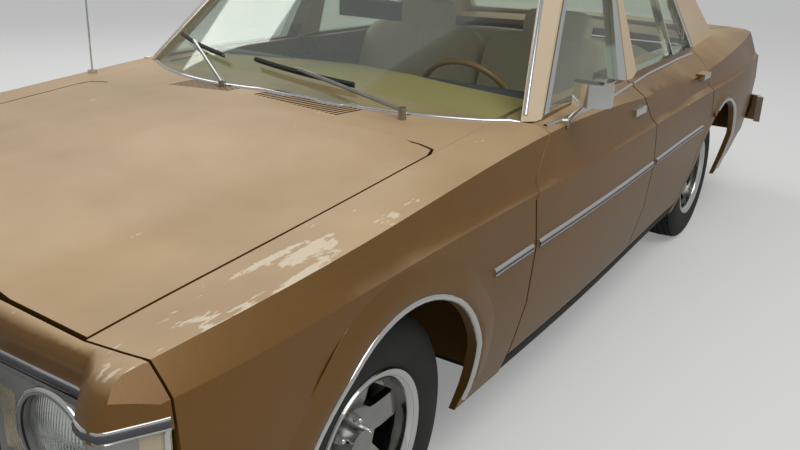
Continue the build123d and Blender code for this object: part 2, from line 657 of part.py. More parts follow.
# Lamp bezels, which wrap round the prows' corners under the trim line
bezel_back_x, bezel_x = header_x, header_x + 12
bezel_plan = [
    (bezel_back_x, 497), (bezel_x, 497), (bezel_x + 2, 772), (prow_x - 12, 806), (prow_x - 5, prow_y - 2),
    (prow_x - 13, prow_y + 20), (prow_x - 56 + seat_gap, 869.7), (prow_x - 60 + seat_gap, 857.7),
    (prow_x - 24, prow_y + 12), (prow_x - 17, prow_y - 2), (prow_x - 23, 813), (bezel_x - 4, 784), (bezel_back_x, 782),
]
bezel = plan_prism(bezel_plan, fascia_low_z, chrome_z - seat_gap)
bezel_ring = cut(rod((bezel_x - 4, lamp_y, lamp_z), (lamp_face_x + 3, lamp_y, lamp_z), lamp_r + 6),
                 block(0, 3000, 0, wide, chrome_z - seat_gap, 1000))
bezel = cut(join(bezel, bezel_ring), rod((seam_x, lamp_y, lamp_z), (prow_x, lamp_y, lamp_z), lamp_r + 0.4),
            block(seam_x, prow_x, parking_y - parking_w / 2 - 0.3, parking_y + parking_w / 2 + 0.3,
                  parking_z - parking_h / 2 - 0.3, parking_z + parking_h / 2 + 0.3))

# Grille: surround and upright bars
grille_x = front_axle_x + 752
grille_half, grille_low, grille_high = 492, 560, chrome_z + 22
grille_back_x = header_x + seat_gap
bar_pitch, bar_w = 24, 7
surround = cut(block(grille_back_x, grille_x, -grille_half, grille_half, grille_low, grille_high),
               block(grille_back_x - 5, grille_x + 5, -grille_half + 22, grille_half - 22,
                     grille_low + 16, grille_high - 24))
bar_count = int((2 * grille_half - 44) / bar_pitch)
bars = [block(grille_x - 34, grille_x - 6, (n - (bar_count - 1) / 2) * bar_pitch - bar_w / 2,
              (n - (bar_count - 1) / 2) * bar_pitch + bar_w / 2, grille_low + 8, grille_high - 12)
        for n in range(bar_count)]
grille_backing = block(lamp_back_x, grille_back_x + 8, -grille_half + 10, grille_half - 10,
                       grille_low + 4, grille_high - 26)
grille = gather(join(surround, grille_backing, *bars), bezel, mirrored(bezel))

# Bumpers, as a plan band with rounded edges
bumper_low_z, bumper_high_z = 398, 545
bumper_t = 62


def bumper(face_x, forward, end_x, end_y):
    outer = [(face_x, -560), (face_x, 560), (face_x - forward * 40, 780),
             (face_x - forward * 95, end_y - 30), (face_x - forward * 150, end_y), (end_x, end_y)]
    inner = [(end_x, end_y - 34), (face_x - forward * 112, end_y - 40),
             (face_x - forward * (20 + bumper_t), 760), (face_x - forward * bumper_t, 540)]
    left = outer[1:] + inner
    loop = left + [(x, -y) for x, y in reversed(left)]
    band = plan_prism(loop, bumper_low_z, bumper_high_z)
    slope = side_prism([
        (face_x, bumper_low_z + 38), (face_x, bumper_high_z - 38), (face_x - forward * 16, bumper_high_z),
        (end_x - forward * 50, bumper_high_z), (end_x - forward * 50, bumper_low_z),
        (face_x - forward * 16, bumper_low_z)], -wide, wide)
    return common(band, slope)


front_bumper = bumper(front_bumper_x, 1, seam_x + 20, 905)
rear_bumper = bumper(rear_bumper_x, -1, tail_x + 50, 905)
bracket_z0, bracket_z1 = 420, 520
front_brackets = [block(seam_x + 2, front_bumper_x - bumper_t + 10, side * rail_y - 30, side * rail_y + 30,
                        front_rail_z + rail_h - 30, bracket_z1) for side in (1, -1)]
front_bumper = join(front_bumper, *front_brackets)
rear_brackets = [block(rear_bumper_x + bumper_t - 10, rear_end_x - seat_gap, side * rail_y - 30,
                       side * rail_y + 30, bracket_z0, trunk_floor_z - 10) for side in (1, -1)]
rear_bumper = join(rear_bumper, *rear_brackets)
rear_body = cut(rear_body, *[block(tail_x - 60, rear_end_x, side * rail_y - 31, side * rail_y + 31,
                                   bracket_z0 - 1, trunk_floor_z - 9) for side in (1, -1)])
front_plate_z = 470
plate_holes_front = [rod((front_bumper_x - 20, side * plate_pitch / 2, front_plate_z),
                         (front_bumper_x + 5, side * plate_pitch / 2, front_plate_z), plate_hole_r)
                     for side in (1, -1)]
front_bumper = cut(front_bumper, *plate_holes_front)


# Wheels and tyres
# Profiles are in radius and outward distance from the wheel's middle plane.
hub_face_w = 6
hub_hole_r = 34
spoke_count = 5
rim_profile = [
    (rim_r - 8, -rim_w / 2), (rim_r + 12, -rim_w / 2), (rim_r + 12, -rim_w / 2 + 6), (rim_r, -rim_w / 2 + 8),
    (rim_r, rim_w / 2 - 8), (rim_r + 12, rim_w / 2 - 6), (rim_r + 18, rim_w / 2), (rim_r + 14, rim_w / 2 + 5),
    (rim_r + 2, rim_w / 2 + 2), (rim_r - 8, rim_w / 2 - 12),
]
disc_profile = [
    (hub_hole_r, hub_face_w), (82, hub_face_w), (100, 18), (150, 34), (rim_r - 4, 30), (rim_r - 4, 48),
    (148, 54), (104, 42), (80, 30), (hub_hole_r, 30),
]
tyre_profile = [
    (rim_r + 0.4, -70), (rim_r + 14, -82), (rim_r + 30, -93), (250, -tyre_w / 2), (290, -92), (312, -80),
    (tyre_r - 2, -66), (tyre_r, -40), (tyre_r, 40), (tyre_r - 2, 66), (312, 80), (290, 92), (250, tyre_w / 2),
    (rim_r + 32, 93), (rim_r + 20.5, 82), (rim_r + 0.4, 70),
]
window_low_r, window_high_r = 92, 160


def make_rim(end, side):
    x, y, z = wheel_place(end, side)
    rim = join(turned(rim_profile, x, y, z, side), turned(disc_profile, x, y, z, side))
    windows = []
    for step in range(spoke_count):
        middle = 2 * math.pi * (step + 0.5) / spoke_count
        corners = []
        for radius, half_angle in ((window_low_r, 0.20), (window_high_r, 0.40), (window_high_r, -0.40),
                                   (window_low_r, -0.20)):
            angle = middle + half_angle
            corners.append((x + radius * math.sin(angle), y - 100, z + radius * math.cos(angle)))
        windows.append(extruded(corners, (0, 200, 0)))
    cap = rod((x, y + side * 28, z), (x, y + side * 62, z), hub_hole_r + 6)
    return join(cut(rim, *windows), cap)


def make_tyre(end, side):
    return turned(tyre_profile, *wheel_place(end, side), side)


# Front knuckles: upright, brake disc, hub and stub
kingpin_in = 72
pin_down, pin_up = 105, 118


def make_knuckle(side):
    x, y, z = wheel_place("front", side)
    disc = turned([(20, -46), (128, -46), (128, -24), (20, -24)], x, y, z, side)
    hub = turned([(0.01, -60), (58, -60), (58, hub_face_w - seat_gap), (30, hub_face_w - seat_gap),
                  (30, 22), (0.01, 22)], x, y, z, side)
    pin_y = y - side * kingpin_in
    upright = rod((x, pin_y, z - pin_down), (x, pin_y, z + pin_up), 20)
    arm = rod((x, pin_y, z - 60), (x - 130, y - side * (kingpin_in + 34), z - 70), 12)
    return join(disc, hub, upright, arm)


def front_arms(side):
    x, y, z = wheel_place("front", side)
    pin_y = y - side * kingpin_in
    low_z, high_z = z - pin_down - seat_gap, z + pin_up + seat_gap
    ball_low = rod((x, pin_y, low_z - 22), (x, pin_y, low_z), 19)
    ball_high = rod((x, pin_y, high_z), (x, pin_y, high_z + 20), 18)
    low_arm = plan_prism([(x + 150, side * 330), (x + 18, pin_y), (x - 18, pin_y), (x - 60, side * 330)],
                         low_z - 22, low_z - 4)
    high_arm = plan_prism([(x + 110, side * 450), (x + 18, pin_y), (x - 18, pin_y), (x - 110, side * 450)],
                          high_z + 2, high_z + 18)
    spring = rod((x, side * 470, high_z + 10), (x, side * 470, high_z + 190), 56)
    tower = block(x - 130, x + 130, side * 450 - 20, side * 450 + 20, front_rail_z + rail_h - 10, high_z + 150)
    return join(low_arm, ball_low), join(high_arm, ball_high, spring, tower)


cross_member = block(front_axle_x - 70, front_axle_x + 160, -400, 400, 176, front_rail_z - seat_gap)
left_low, left_high = front_arms(1)
right_low, right_high = front_arms(-1)
front_suspension = gather(join(cross_member, left_low, right_low), left_high, right_high)
floor_pan = cut(floor_pan, block(front_axle_x - 140, front_axle_x + 140, rail_y + 9.7, 600,
                                 front_rail_z + rail_h - 11, 1000),
                block(front_axle_x - 140, front_axle_x + 140, -600, -rail_y - 9.7,
                      front_rail_z + rail_h - 11, 1000))

# Rear axle, drums, springs and driveshaft
axle_r = 38
drum_r = 126
leaf_y, leaf_w = 545, 58
axle_parts = [across(rear_axle_x, tyre_r, axle_r, -track_rear / 2 + 20, track_rear / 2 - 20),
              Solid.make_sphere(132, Plane((rear_axle_x, 0, tyre_r)))]
for side in (1, -1):
    axle_parts.append(turned([(0.01, -76), (drum_r, -76), (drum_r, -20), (58, -20), (58, hub_face_w - seat_gap),
                              (30, hub_face_w - seat_gap), (30, 22), (0.01, 22)],
                             *wheel_place("rear", side), side))
leaf_z = tyre_r - axle_r
leaf_outline = [
    (rear_axle_x + 445, leaf_z + 16), (rear_axle_x + 230, leaf_z - 28), (rear_axle_x, leaf_z - 44),
    (rear_axle_x - 400, leaf_z - 26), (rear_axle_x - 760, leaf_z + 40), (rear_axle_x - 760, leaf_z + 54),
    (rear_axle_x - 400, leaf_z - 4), (rear_axle_x, leaf_z + 2), (rear_axle_x + 230, leaf_z - 8),
    (rear_axle_x + 445, leaf_z + 30)]
for side in (1, -1):
    axle_parts.append(side_prism(leaf_outline, side * leaf_y - leaf_w / 2, side * leaf_y + leaf_w / 2))
    axle_parts.append(block(rear_axle_x - 770, rear_axle_x - 730, side * leaf_y - leaf_w / 2,
                            side * leaf_y + leaf_w / 2, leaf_z + 30, trunk_floor_z - seat_gap))
    axle_parts.append(block(rear_axle_x + 410, rear_axle_x + 450, side * leaf_y - leaf_w / 2,
                            side * leaf_y + leaf_w / 2, leaf_z + 4, trunk_floor_z - seat_gap))
gearbox_end_x = front_axle_x - 900
axle_parts.append(rod((rear_axle_x + 100, 0, tyre_r), (gearbox_end_x - seat_gap, 0, tyre_r), 38))
rear_axle = join(*axle_parts)

# Engine with its gearbox, exhaust and fuel tank
engine = join(block(front_axle_x - 440, front_axle_x + 200, -255, 255, front_rail_z + seat_gap, 790),
              side_prism([(front_axle_x - 430, 330), (front_axle_x - 430, 560), (front_axle_x - 500, 520),
                          (firewall_x + 10, 418), (gearbox_end_x, 400), (gearbox_end_x, 270),
                          (front_axle_x - 500, 270)], -72, 72))

exhaust_y = -250
pipe_r = 24
exhaust = join(
    rod((front_axle_x - 300, exhaust_y, 215), (rear_axle_x + 700, exhaust_y, 215), pipe_r),
    rod((rear_axle_x + 1250, exhaust_y, 218), (rear_axle_x + 780, exhaust_y, 218), 62 / 2),
    rod((front_axle_x - 300, exhaust_y, 215), (front_axle_x - 300, exhaust_y, front_rail_z), pipe_r),
)

fuel_tank = block(tail_x + 160, rear_axle_x - 480, -330, 330, 300, trunk_floor_z - seat_gap)

# Seats, dashboard and steering
seat_front_x = front_axle_x - 1440
seat_pan_z = 330
cushion_top_z = 560
front_cushion = side_prism([
    (seat_front_x, seat_pan_z), (seat_front_x + 20, cushion_top_z - 60), (seat_front_x - 20, cushion_top_z),
    (seat_front_x - 470, cushion_top_z - 35), (seat_front_x - 480, seat_pan_z)], -660, 660)
front_back = side_prism([
    (seat_front_x - 455, cushion_top_z - 70), (seat_front_x - 600, 1010), (seat_front_x - 680, 1010),
    (seat_front_x - 600, cushion_top_z - 100)], -650, 650)
head_rests = [block(seat_front_x - 690, seat_front_x - 605, side * 330 - 130, side * 330 + 130, 990, 1110)
              for side in (1, -1)]
front_base = cut(block(seat_front_x - 440, seat_front_x - 40, -600, 600, floor_z + floor_t, seat_pan_z + 5),
                 block(-3000, 3000, -tunnel_w / 2 - 0.3, tunnel_w / 2 + 0.3, 0, floor_z + tunnel_h))
front_seat = cut(join(front_cushion, front_back, *head_rests, front_base),
                 block(-3000, 3000, -tunnel_w / 2 - 0.3, tunnel_w / 2 + 0.3, 0, floor_z + tunnel_h + 0.3))

rear_seat_x = rear_axle_x + 470
rear_seat_low_z = trunk_floor_z + floor_t + seat_gap
rear_seat = join(
    side_prism([(rear_seat_x, rear_seat_low_z), (rear_seat_x + 8, 560), (rear_seat_x - 30, 592),
                (rear_seat_x - 250, 566), (rear_seat_x - 250, rear_seat_low_z)], -600, 600),
    side_prism([(rear_seat_x - 220, rear_seat_low_z), (rear_seat_x - 225, 560), (rear_seat_x - 410, 935),
                (rear_seat_x - 500, 935), (rear_seat_x - 380, rear_seat_low_z)], -610, 610))

dash_x = front_axle_x - 1130
dash_front_x = door_front_x - 180 - seat_gap
dash_y = 690
pad_r, pad_z = 28, 936
dashboard = common(side_prism([
    (dash_x, 700), (dash_x, pad_z), (dash_x + 2 * pad_r, 1000), (dash_front_x, 1000), (dash_front_x, 860),
    (dash_x + 90, 860), (dash_x + 90, 640), (dash_x + 20, 640)], -dash_y, dash_y), outer_body)
dashboard = join(dashboard, rod((dash_x + pad_r, 2 - dash_y, pad_z), (dash_x + pad_r, dash_y - 2, pad_z), pad_r))

wheel_y = 350
wheel_centre = Vector(front_axle_x - 1290, wheel_y, 835)
wheel_tilt = 25
column_dir = Vector(math.cos(math.radians(wheel_tilt)), 0, -math.sin(math.radians(wheel_tilt)))
wheel_r, wheel_rim_r = 195, 11
wheel_plane = Plane(wheel_centre, x_dir=(0, 1, 0), z_dir=-column_dir)
steering_rim = Solid.make_torus(wheel_r, wheel_rim_r, wheel_plane)
spokes = []
for sweep in (-10, 190):
    angle = math.radians(sweep)
    tip_point = wheel_plane.from_local_coords((math.cos(angle) * (wheel_r - 3), math.sin(angle) * (wheel_r - 3), 0))
    spokes.append(rod(tuple(wheel_centre + column_dir * 18), tuple(tip_point), 9))
wheel_hub = rod(tuple(wheel_centre - column_dir * 12), tuple(wheel_centre + column_dir * 44), 42)
steering_wheel = join(steering_rim, wheel_hub, *spokes)
column_start = wheel_centre + column_dir * (44 + seat_gap)
steering_column = rod(tuple(column_start), tuple(wheel_centre + column_dir * 560), 30)
dashboard = cut(dashboard, rod(tuple(column_start), tuple(wheel_centre + column_dir * 700), 30.3))

# Wipers, aerial, mirrors
wiper_table = (
    ((front_axle_x - 635, 485), (87, 1004), ((-111, 1017), (285, 988))),
    ((front_axle_x - 585, -170), (-480, 1021), ((-634, 1029), (-272, 1011))),
)
post_low_z, post_high_z = 925, 966
arm_lift, blade_lift = 26, 15
blade_steps = 6


def on_glass(y, z, lift):
    """Point at a distance out from the windshield's outer face."""
    bow = windshield_bow_r - math.sqrt(windshield_bow_r ** 2 - y * y)
    pane_angle = math.atan(windshield_lean)
    face_x = windshield_base_x - (z - windshield_base_z) * windshield_lean - bow / math.cos(pane_angle)
    return face_x + lift * math.cos(pane_angle), y, z + lift * math.sin(pane_angle)


def wiper(pivot, arm_end, blade_ends):
    """Post, arm and blade, with the blade bent along the glass."""
    pivot_x, pivot_y = pivot
    top = (pivot_x, pivot_y, post_high_z - 8)
    (y0, z0), (y1, z1) = blade_ends
    points = [on_glass(y0 + (y1 - y0) * step / blade_steps, z0 + (z1 - z0) * step / blade_steps, blade_lift)
              for step in range(blade_steps + 1)]
    links = [rod(start, end, 5) for start, end in zip(points, points[1:])]
    knots = [Solid.make_sphere(5, Plane(point)) for point in points[1:-1]]
    middle = points[blade_steps // 2]
    arm_top = on_glass(*arm_end, arm_lift)
    return join(rod((pivot_x, pivot_y, post_low_z), (pivot_x, pivot_y, post_high_z), 12), rod(top, arm_top, 6),
                rod(arm_top, middle, 5), Solid.make_sphere(6, Plane(arm_top)), *links, *knots)


wipers = cut(gather(*[wiper(*row) for row in wiper_table]), body_clear)

aerial_x, aerial_y = front_axle_x - 568, -792
aerial = cut(join(rod((aerial_x, aerial_y, 880), (aerial_x, aerial_y, 925), 16),
                  rod((aerial_x, aerial_y, 900), (aerial_x, aerial_y, 1700), 3)), body_clear)

mirror_x, mirror_low_z, mirror_high_z = front_axle_x - 965, 985, 1052
mirror_plan = [(mirror_x, 868), (mirror_x, 983), (mirror_x + 22, 985), (mirror_x + 44, 974), (mirror_x + 58, 946),
               (mirror_x + 60, 906), (mirror_x + 46, 878), (mirror_x + 20, 868)]
mirror_foot = plan_prism([(mirror_x - 8, 850), (mirror_x + 12, 866), (mirror_x + 38, 870), (mirror_x + 28, 848)],
                         900, belt_z + 4)
door_mirror = join(plan_prism(mirror_plan, mirror_low_z, mirror_high_z), mirror_foot,
                   rod((mirror_x + 20, 858, 925), (mirror_x + 28, 915, mirror_low_z + 6), 9))
door_mirror = cut(door_mirror, body_clear)

inner_mirror = block(front_axle_x - 1012, front_axle_x - 990, -10, 230, 1155, 1215)
pane_angle = math.atan(windshield_lean)
pane_normal = Vector(math.cos(pane_angle), 0, math.sin(pane_angle))
pane_up = Vector(-math.sin(pane_angle), 0, math.cos(pane_angle))
pad_y = 60
pad_bow = windshield_bow_r - math.sqrt(windshield_bow_r ** 2 - pad_y ** 2)
pad = (Vector(windshield_base_x, pad_y, windshield_base_z) + pane_up * 470
       - pane_normal * (6 + glass_t + pad_bow + 2 * seat_gap))
inner_mirror = join(inner_mirror, rod(tuple(pad), tuple(pad - pane_normal * 8), 14),
                    rod(tuple(pad - pane_normal * 6), (front_axle_x - 1001, 105, 1190), 6))

# Writing the pieces
pieces = {
    "floor_pan": floor_pan,
    "cowl_and_firewall": cowl,
    "header_panel": header,
    "front_fenders": front_fenders,
    "rear_body": rear_body,
    "roof_and_pillars": roof,
    "windshield_and_backlight": fixed_glass,
    "grille": grille,
    "front_lamps": front_lamps,
    "tail_lamps": tail_lamps,
    "front_bumper": front_bumper,
    "rear_bumper": rear_bumper,
    "dashboard": dashboard,
    "steering_column": steering_column,
    "front_seat": front_seat,
    "rear_seat": rear_seat,
    "engine": engine,
    "fuel_tank": fuel_tank,
    "exhaust": exhaust,
    "front_suspension": front_suspension,
    "rear_axle": rear_axle,
    "wipers": wipers,
    "aerial": aerial,
    "interior_mirror": inner_mirror,
    "door_front_left": front_door,
    "door_front_right": mirrored(front_door),
    "door_rear_left": rear_door,
    "door_rear_right": mirrored(rear_door),
    "glass_front_left": front_pane,
    "glass_front_right": mirrored(front_pane),
    "glass_rear_left": rear_pane,
    "glass_rear_right": mirrored(rear_pane),
    "door_mirror": door_mirror,
    "hood": hood,
    "trunk_lid": trunk_lid,
    "knuckle_left": make_knuckle(1),
    "knuckle_right": make_knuckle(-1),
    "steering_wheel": steering_wheel,
}
for end in ("front", "rear"):
    for side, side_name in ((1, "left"), (-1, "right")):
        pieces[f"rim_{end}_{side_name}"] = make_rim(end, side)
        pieces[f"tyre_{end}_{side_name}"] = make_tyre(end, side)

os.makedirs("parts", exist_ok=True)
for name, shape in pieces.items():
    export_step(shape, f"parts/{name}.step")
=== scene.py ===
"""Looks of a compact four-door saloon car of the middle 1970s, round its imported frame."""

import json
import logging
import math
from dataclasses import dataclass
from enum import Enum
from typing import Callable, Sequence

import bmesh
import bpy
from mathutils import Matrix, Vector
from mathutils.bvhtree import BVHTree


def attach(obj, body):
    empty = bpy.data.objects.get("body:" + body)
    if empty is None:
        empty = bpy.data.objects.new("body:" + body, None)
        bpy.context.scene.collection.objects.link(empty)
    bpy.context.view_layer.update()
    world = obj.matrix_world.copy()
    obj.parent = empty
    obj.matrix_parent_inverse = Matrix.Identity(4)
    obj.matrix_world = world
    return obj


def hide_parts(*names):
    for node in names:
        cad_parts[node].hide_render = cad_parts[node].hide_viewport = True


LOG = logging.getLogger("saloon_car")
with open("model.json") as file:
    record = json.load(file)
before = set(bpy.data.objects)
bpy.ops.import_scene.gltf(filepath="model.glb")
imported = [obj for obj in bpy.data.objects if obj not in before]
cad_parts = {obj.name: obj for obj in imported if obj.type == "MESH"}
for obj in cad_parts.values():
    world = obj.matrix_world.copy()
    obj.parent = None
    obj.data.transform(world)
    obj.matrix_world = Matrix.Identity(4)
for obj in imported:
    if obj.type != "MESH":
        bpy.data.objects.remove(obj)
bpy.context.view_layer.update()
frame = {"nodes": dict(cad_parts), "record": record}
MM = 0.001
# Places are in metres, from the middle of the car's length at ground level.
FRONT_AXLE_X, REAR_AXLE_X = 1.580, -1.211
FRONT_TRACK, REAR_TRACK = 1.499, 1.466
TYRE_R = 0.325
SIDES = ((1, "left"), (-1, "right"))
Point = tuple[float, float, float]

# What all finishes share: how deep their grain is in metres, and how their roughness drifts with it.
GRAIN_DEPTH = 0.0006
COAT_ROUGHNESS = 0.08
SMOOTHER, ROUGHER, SMOOTHEST = 0.06, 0.08, 0.02

# Socket numbers of Map Range, and of Mix where it mixes colours.
VALUE, FROM_LOW, FROM_HIGH, TO_LOW, TO_HIGH = range(5)
FACTOR, FIRST, SECOND, MIXED = 0, 6, 7, 2


def linear(code: str) -> tuple[float, float, float, float]:
    """Turns an sRGB hex colour into linear RGBA.

    Args:
        code: Six hex digits, with or without a leading hash.

    Returns:
        The colour as Blender's linear values.
    """
    code = code.lstrip("#")
    parts = [int(code[i:i + 2], 16) / 255 for i in (0, 2, 4)]
    values = [c / 12.92 if c <= 0.04045 else ((c + 0.055) / 1.055) ** 2.4 for c in parts]
    return (values[0], values[1], values[2], 1.0)


def add_node(tree: bpy.types.NodeTree, kind: str, settings: dict | None = None,
             inputs: dict | None = None) -> bpy.types.Node:
    """Adds a node with its settings, socket values and links.

    Args:
        tree: The tree that gets the node.
        kind: The node's type name.
        settings: Attributes to set on the node.
        inputs: Socket name or index to a value, or to an output socket to link.

    Returns:
        The new node.
    """
    node = tree.nodes.new(kind)
    for key, value in (settings or {}).items():
        setattr(node, key, value)
    for key, value in (inputs or {}).items():
        if isinstance(value, bpy.types.NodeSocket):
            tree.links.new(value, node.inputs[key])
        else:
            node.inputs[key].default_value = value
    return node


class Coat(Enum):
    """What lies over a finish's colour."""

    BARE = 0.0
    THIN = 0.25
    GLOSSY = 0.8


@dataclass(frozen=True)
class Finish:
    """A plain finish: its colour varies a little, and fine noise roughens it."""

    name: str
    colour: str
    shade: str
    metallic: float = 0.0
    roughness: float = 0.5
    coat: Coat = Coat.BARE
    grain_mm: float = 2.0
    bump: float = 0.05
    patch_mm: float = 300.0

    def shader(self) -> tuple[bpy.types.Material, bpy.types.Node, bpy.types.NodeSocket]:
        """Starts the material.

        Returns:
            The material, its Principled node and the Object coordinates.
        """
        material = bpy.data.materials.new(self.name)
        material.use_nodes = True
        tree = material.node_tree
        surface = tree.nodes["Principled BSDF"]
        surface.inputs["Metallic"].default_value = self.metallic
        surface.inputs["Roughness"].default_value = self.roughness
        surface.inputs["Coat Weight"].default_value = self.coat.value
        surface.inputs["Coat Roughness"].default_value = COAT_ROUGHNESS
        place = add_node(tree, "ShaderNodeTexCoord").outputs["Object"]
        return material, surface, place

    def colours(self, tree: bpy.types.NodeTree, place: bpy.types.NodeSocket) -> bpy.types.NodeSocket:
        """Colour that drifts between the two tones in wide soft patches."""
        patches = add_node(tree, "ShaderNodeTexNoise", None,
                           {"Vector": place, "Scale": 1000 / self.patch_mm, "Detail": 4.0})
        mix = add_node(tree, "ShaderNodeMix", {"data_type": "RGBA"}, {
            FACTOR: patches.outputs[0], FIRST: linear(self.colour), SECOND: linear(self.shade)})
        return mix.outputs[MIXED]

    def relief(self, tree: bpy.types.NodeTree, place: bpy.types.NodeSocket) -> bpy.types.NodeSocket:
        """Height of the finish's fine grain."""
        grain = add_node(tree, "ShaderNodeTexNoise", None,
                         {"Vector": place, "Scale": 1000 / self.grain_mm, "Detail": 3.0})
        return grain.outputs[0]

    def build(self) -> bpy.types.Material:
        """Makes the material."""
        material, surface, place = self.shader()
        tree = material.node_tree
        tree.links.new(self.colours(tree, place), surface.inputs["Base Color"])
        wear = add_node(tree, "ShaderNodeMapRange", None, {
            VALUE: self.relief(tree, place), TO_LOW: max(self.roughness - SMOOTHER, SMOOTHEST),
            TO_HIGH: self.roughness + ROUGHER})
        tree.links.new(wear.outputs[0], surface.inputs["Roughness"])
        bump = add_node(tree, "ShaderNodeBump", None, {
            "Strength": self.bump, "Distance": GRAIN_DEPTH, "Height": self.relief(tree, place)})
        tree.links.new(bump.outputs[0], surface.inputs["Normal"])
        return material


@dataclass(frozen=True)
class AgedPaint(Finish):
    """Metallic enamel under a clear coat, chalky and paler on top: sun fading, with painted sunlight."""

    # Pale tan for upward faces, partly chalky paint and partly painted sunlight.
    faded_and_sunlit: str = "cfb188"
    bare: str = "e0d0b4"
    flake_mm: float = 1.6
    cloud_scale: float = 2.2
    cloud_share: float = 0.35
    fade_and_sunlight_up: tuple[float, float] = (0.85, 1.22)
    fade_and_sunlight_most: float = 0.85
    chalk_up: tuple[float, float] = (0.55, 0.97)
    chalk_coat: float = 0.06
    chalk_metallic: float = 0.12
    chalk_roughness: float = 0.56
    peel_stretch: tuple[float, float, float] = (2.2, 7.0, 3.0)
    peel_x: tuple[float, float] = (1.15, 1.75)
    peel_y: tuple[float, float] = (0.69, 0.80)
    peel_up: tuple[float, float] = (0.75, 0.93)
    peel_level: tuple[float, float] = (0.68, 0.70)
    peel_share: float = 0.17
    peel_most: float = 0.85

    def build(self) -> bpy.types.Material:
        """Makes the enamel, with less gloss and less metal where it is chalky."""
        material = super().build()
        tree = material.node_tree
        surface = tree.nodes["Principled BSDF"]
        up = self.facing_up(tree)
        for socket, sound, chalky in (("Coat Weight", self.coat.value, self.chalk_coat),
                                      ("Metallic", self.metallic, self.chalk_metallic),
                                      ("Roughness", self.roughness, self.chalk_roughness)):
            blend = add_node(tree, "ShaderNodeMapRange", None, {
                VALUE: up, FROM_LOW: self.chalk_up[0], FROM_HIGH: self.chalk_up[1],
                TO_LOW: sound, TO_HIGH: chalky})
            tree.links.new(blend.outputs[0], surface.inputs[socket])
        return material

    def facing_up(self, tree: bpy.types.NodeTree) -> bpy.types.NodeSocket:
        """How far the surface looks up, as its normal's height."""
        normal = add_node(tree, "ShaderNodeNewGeometry").outputs["Normal"]
        return add_node(tree, "ShaderNodeSeparateXYZ", None, {0: normal}).outputs[2]

    def colours(self, tree: bpy.types.NodeTree, place: bpy.types.NodeSocket) -> bpy.types.NodeSocket:
        """Flaked bronze, paler on top from sun fading and painted sunlight, with a peeled left fender edge.
        """
        base = super().colours(tree, place)
        flakes = add_node(tree, "ShaderNodeTexVoronoi", None,
                          {"Vector": place, "Scale": 1000 / self.flake_mm})
        glitter = add_node(tree, "ShaderNodeMapRange", None,
                           {VALUE: flakes.outputs["Color"], TO_LOW: 0.88, TO_HIGH: 1.12})
        lively = add_node(tree, "ShaderNodeMix", {"data_type": "RGBA", "blend_type": "MULTIPLY"},
                          {FACTOR: 1.0, FIRST: base, SECOND: glitter.outputs[0]})
        up = self.facing_up(tree)
        clouds = add_node(tree, "ShaderNodeTexNoise", None,
                          {"Vector": place, "Scale": self.cloud_scale, "Detail": 5.0})
        sun = add_node(tree, "ShaderNodeMath", {"operation": "MULTIPLY_ADD"},
                       {0: clouds.outputs[0], 1: self.cloud_share, 2: up})
        # Paler on upward faces: partly the paint's real sun fading, partly painted sunlight.
        fade_and_sunlight = add_node(tree, "ShaderNodeMapRange", None, {
            VALUE: sun.outputs[0], FROM_LOW: self.fade_and_sunlight_up[0], FROM_HIGH: self.fade_and_sunlight_up[1],
            TO_LOW: 0.0, TO_HIGH: self.fade_and_sunlight_most})
        pale = add_node(tree, "ShaderNodeMix", {"data_type": "RGBA"}, {
            FACTOR: fade_and_sunlight.outputs[0], FIRST: lively.outputs[MIXED], SECOND: linear(self.faded_and_sunlit)})
        peel = self.peeled(tree, place, up)
        bare = add_node(tree, "ShaderNodeMix", {"data_type": "RGBA"},
                        {FACTOR: peel, FIRST: pale.outputs[MIXED], SECOND: linear(self.bare)})
        return bare.outputs[MIXED]

    def peeled(self, tree: bpy.types.NodeTree, place: bpy.types.NodeSocket,
               up: bpy.types.NodeSocket) -> bpy.types.NodeSocket:
        """Mask of the ragged patches where the clear coat has peeled along the left fender's top."""
        mapping = add_node(tree, "ShaderNodeMapping", None, {0: place, "Scale": self.peel_stretch})
        ragged = add_node(tree, "ShaderNodeTexNoise", None,
                          {"Vector": mapping.outputs[0], "Scale": 3.0, "Detail": 9.0, "Roughness": 0.62})
        axes = add_node(tree, "ShaderNodeSeparateXYZ", None, {0: place})
        band = add_node(tree, "ShaderNodeMapRange", {"interpolation_type": "SMOOTHSTEP"},
                        {VALUE: axes.outputs[1], FROM_LOW: self.peel_y[0], FROM_HIGH: self.peel_y[1]})
        long = add_node(tree, "ShaderNodeMapRange", {"interpolation_type": "SMOOTHSTEP"},
                        {VALUE: axes.outputs[0], FROM_LOW: self.peel_x[0], FROM_HIGH: self.peel_x[1]})
        place_mask = add_node(tree, "ShaderNodeMath", {"operation": "MULTIPLY"},
                              {0: band.outputs[0], 1: long.outputs[0]})
        facing = add_node(tree, "ShaderNodeMath", {"operation": "MULTIPLY"},
                          {0: place_mask.outputs[0], 1: up})
        total = add_node(tree, "ShaderNodeMath", {"operation": "MULTIPLY_ADD"},
                         {0: facing.outputs[0], 1: self.peel_share, 2: ragged.outputs[0]})
        flat = add_node(tree, "ShaderNodeMapRange", None, {
            VALUE: up, FROM_LOW: self.peel_up[0], FROM_HIGH: self.peel_up[1],
            TO_LOW: 0.0, TO_HIGH: self.peel_most})
        patch = add_node(tree, "ShaderNodeMapRange", None, {
            VALUE: total.outputs[0], FROM_LOW: self.peel_level[0], FROM_HIGH: self.peel_level[1]})
        edge = add_node(tree, "ShaderNodeMath", {"operation": "MULTIPLY"},
                        {0: patch.outputs[0], 1: flat.outputs[0]})
        return edge.outputs[0]


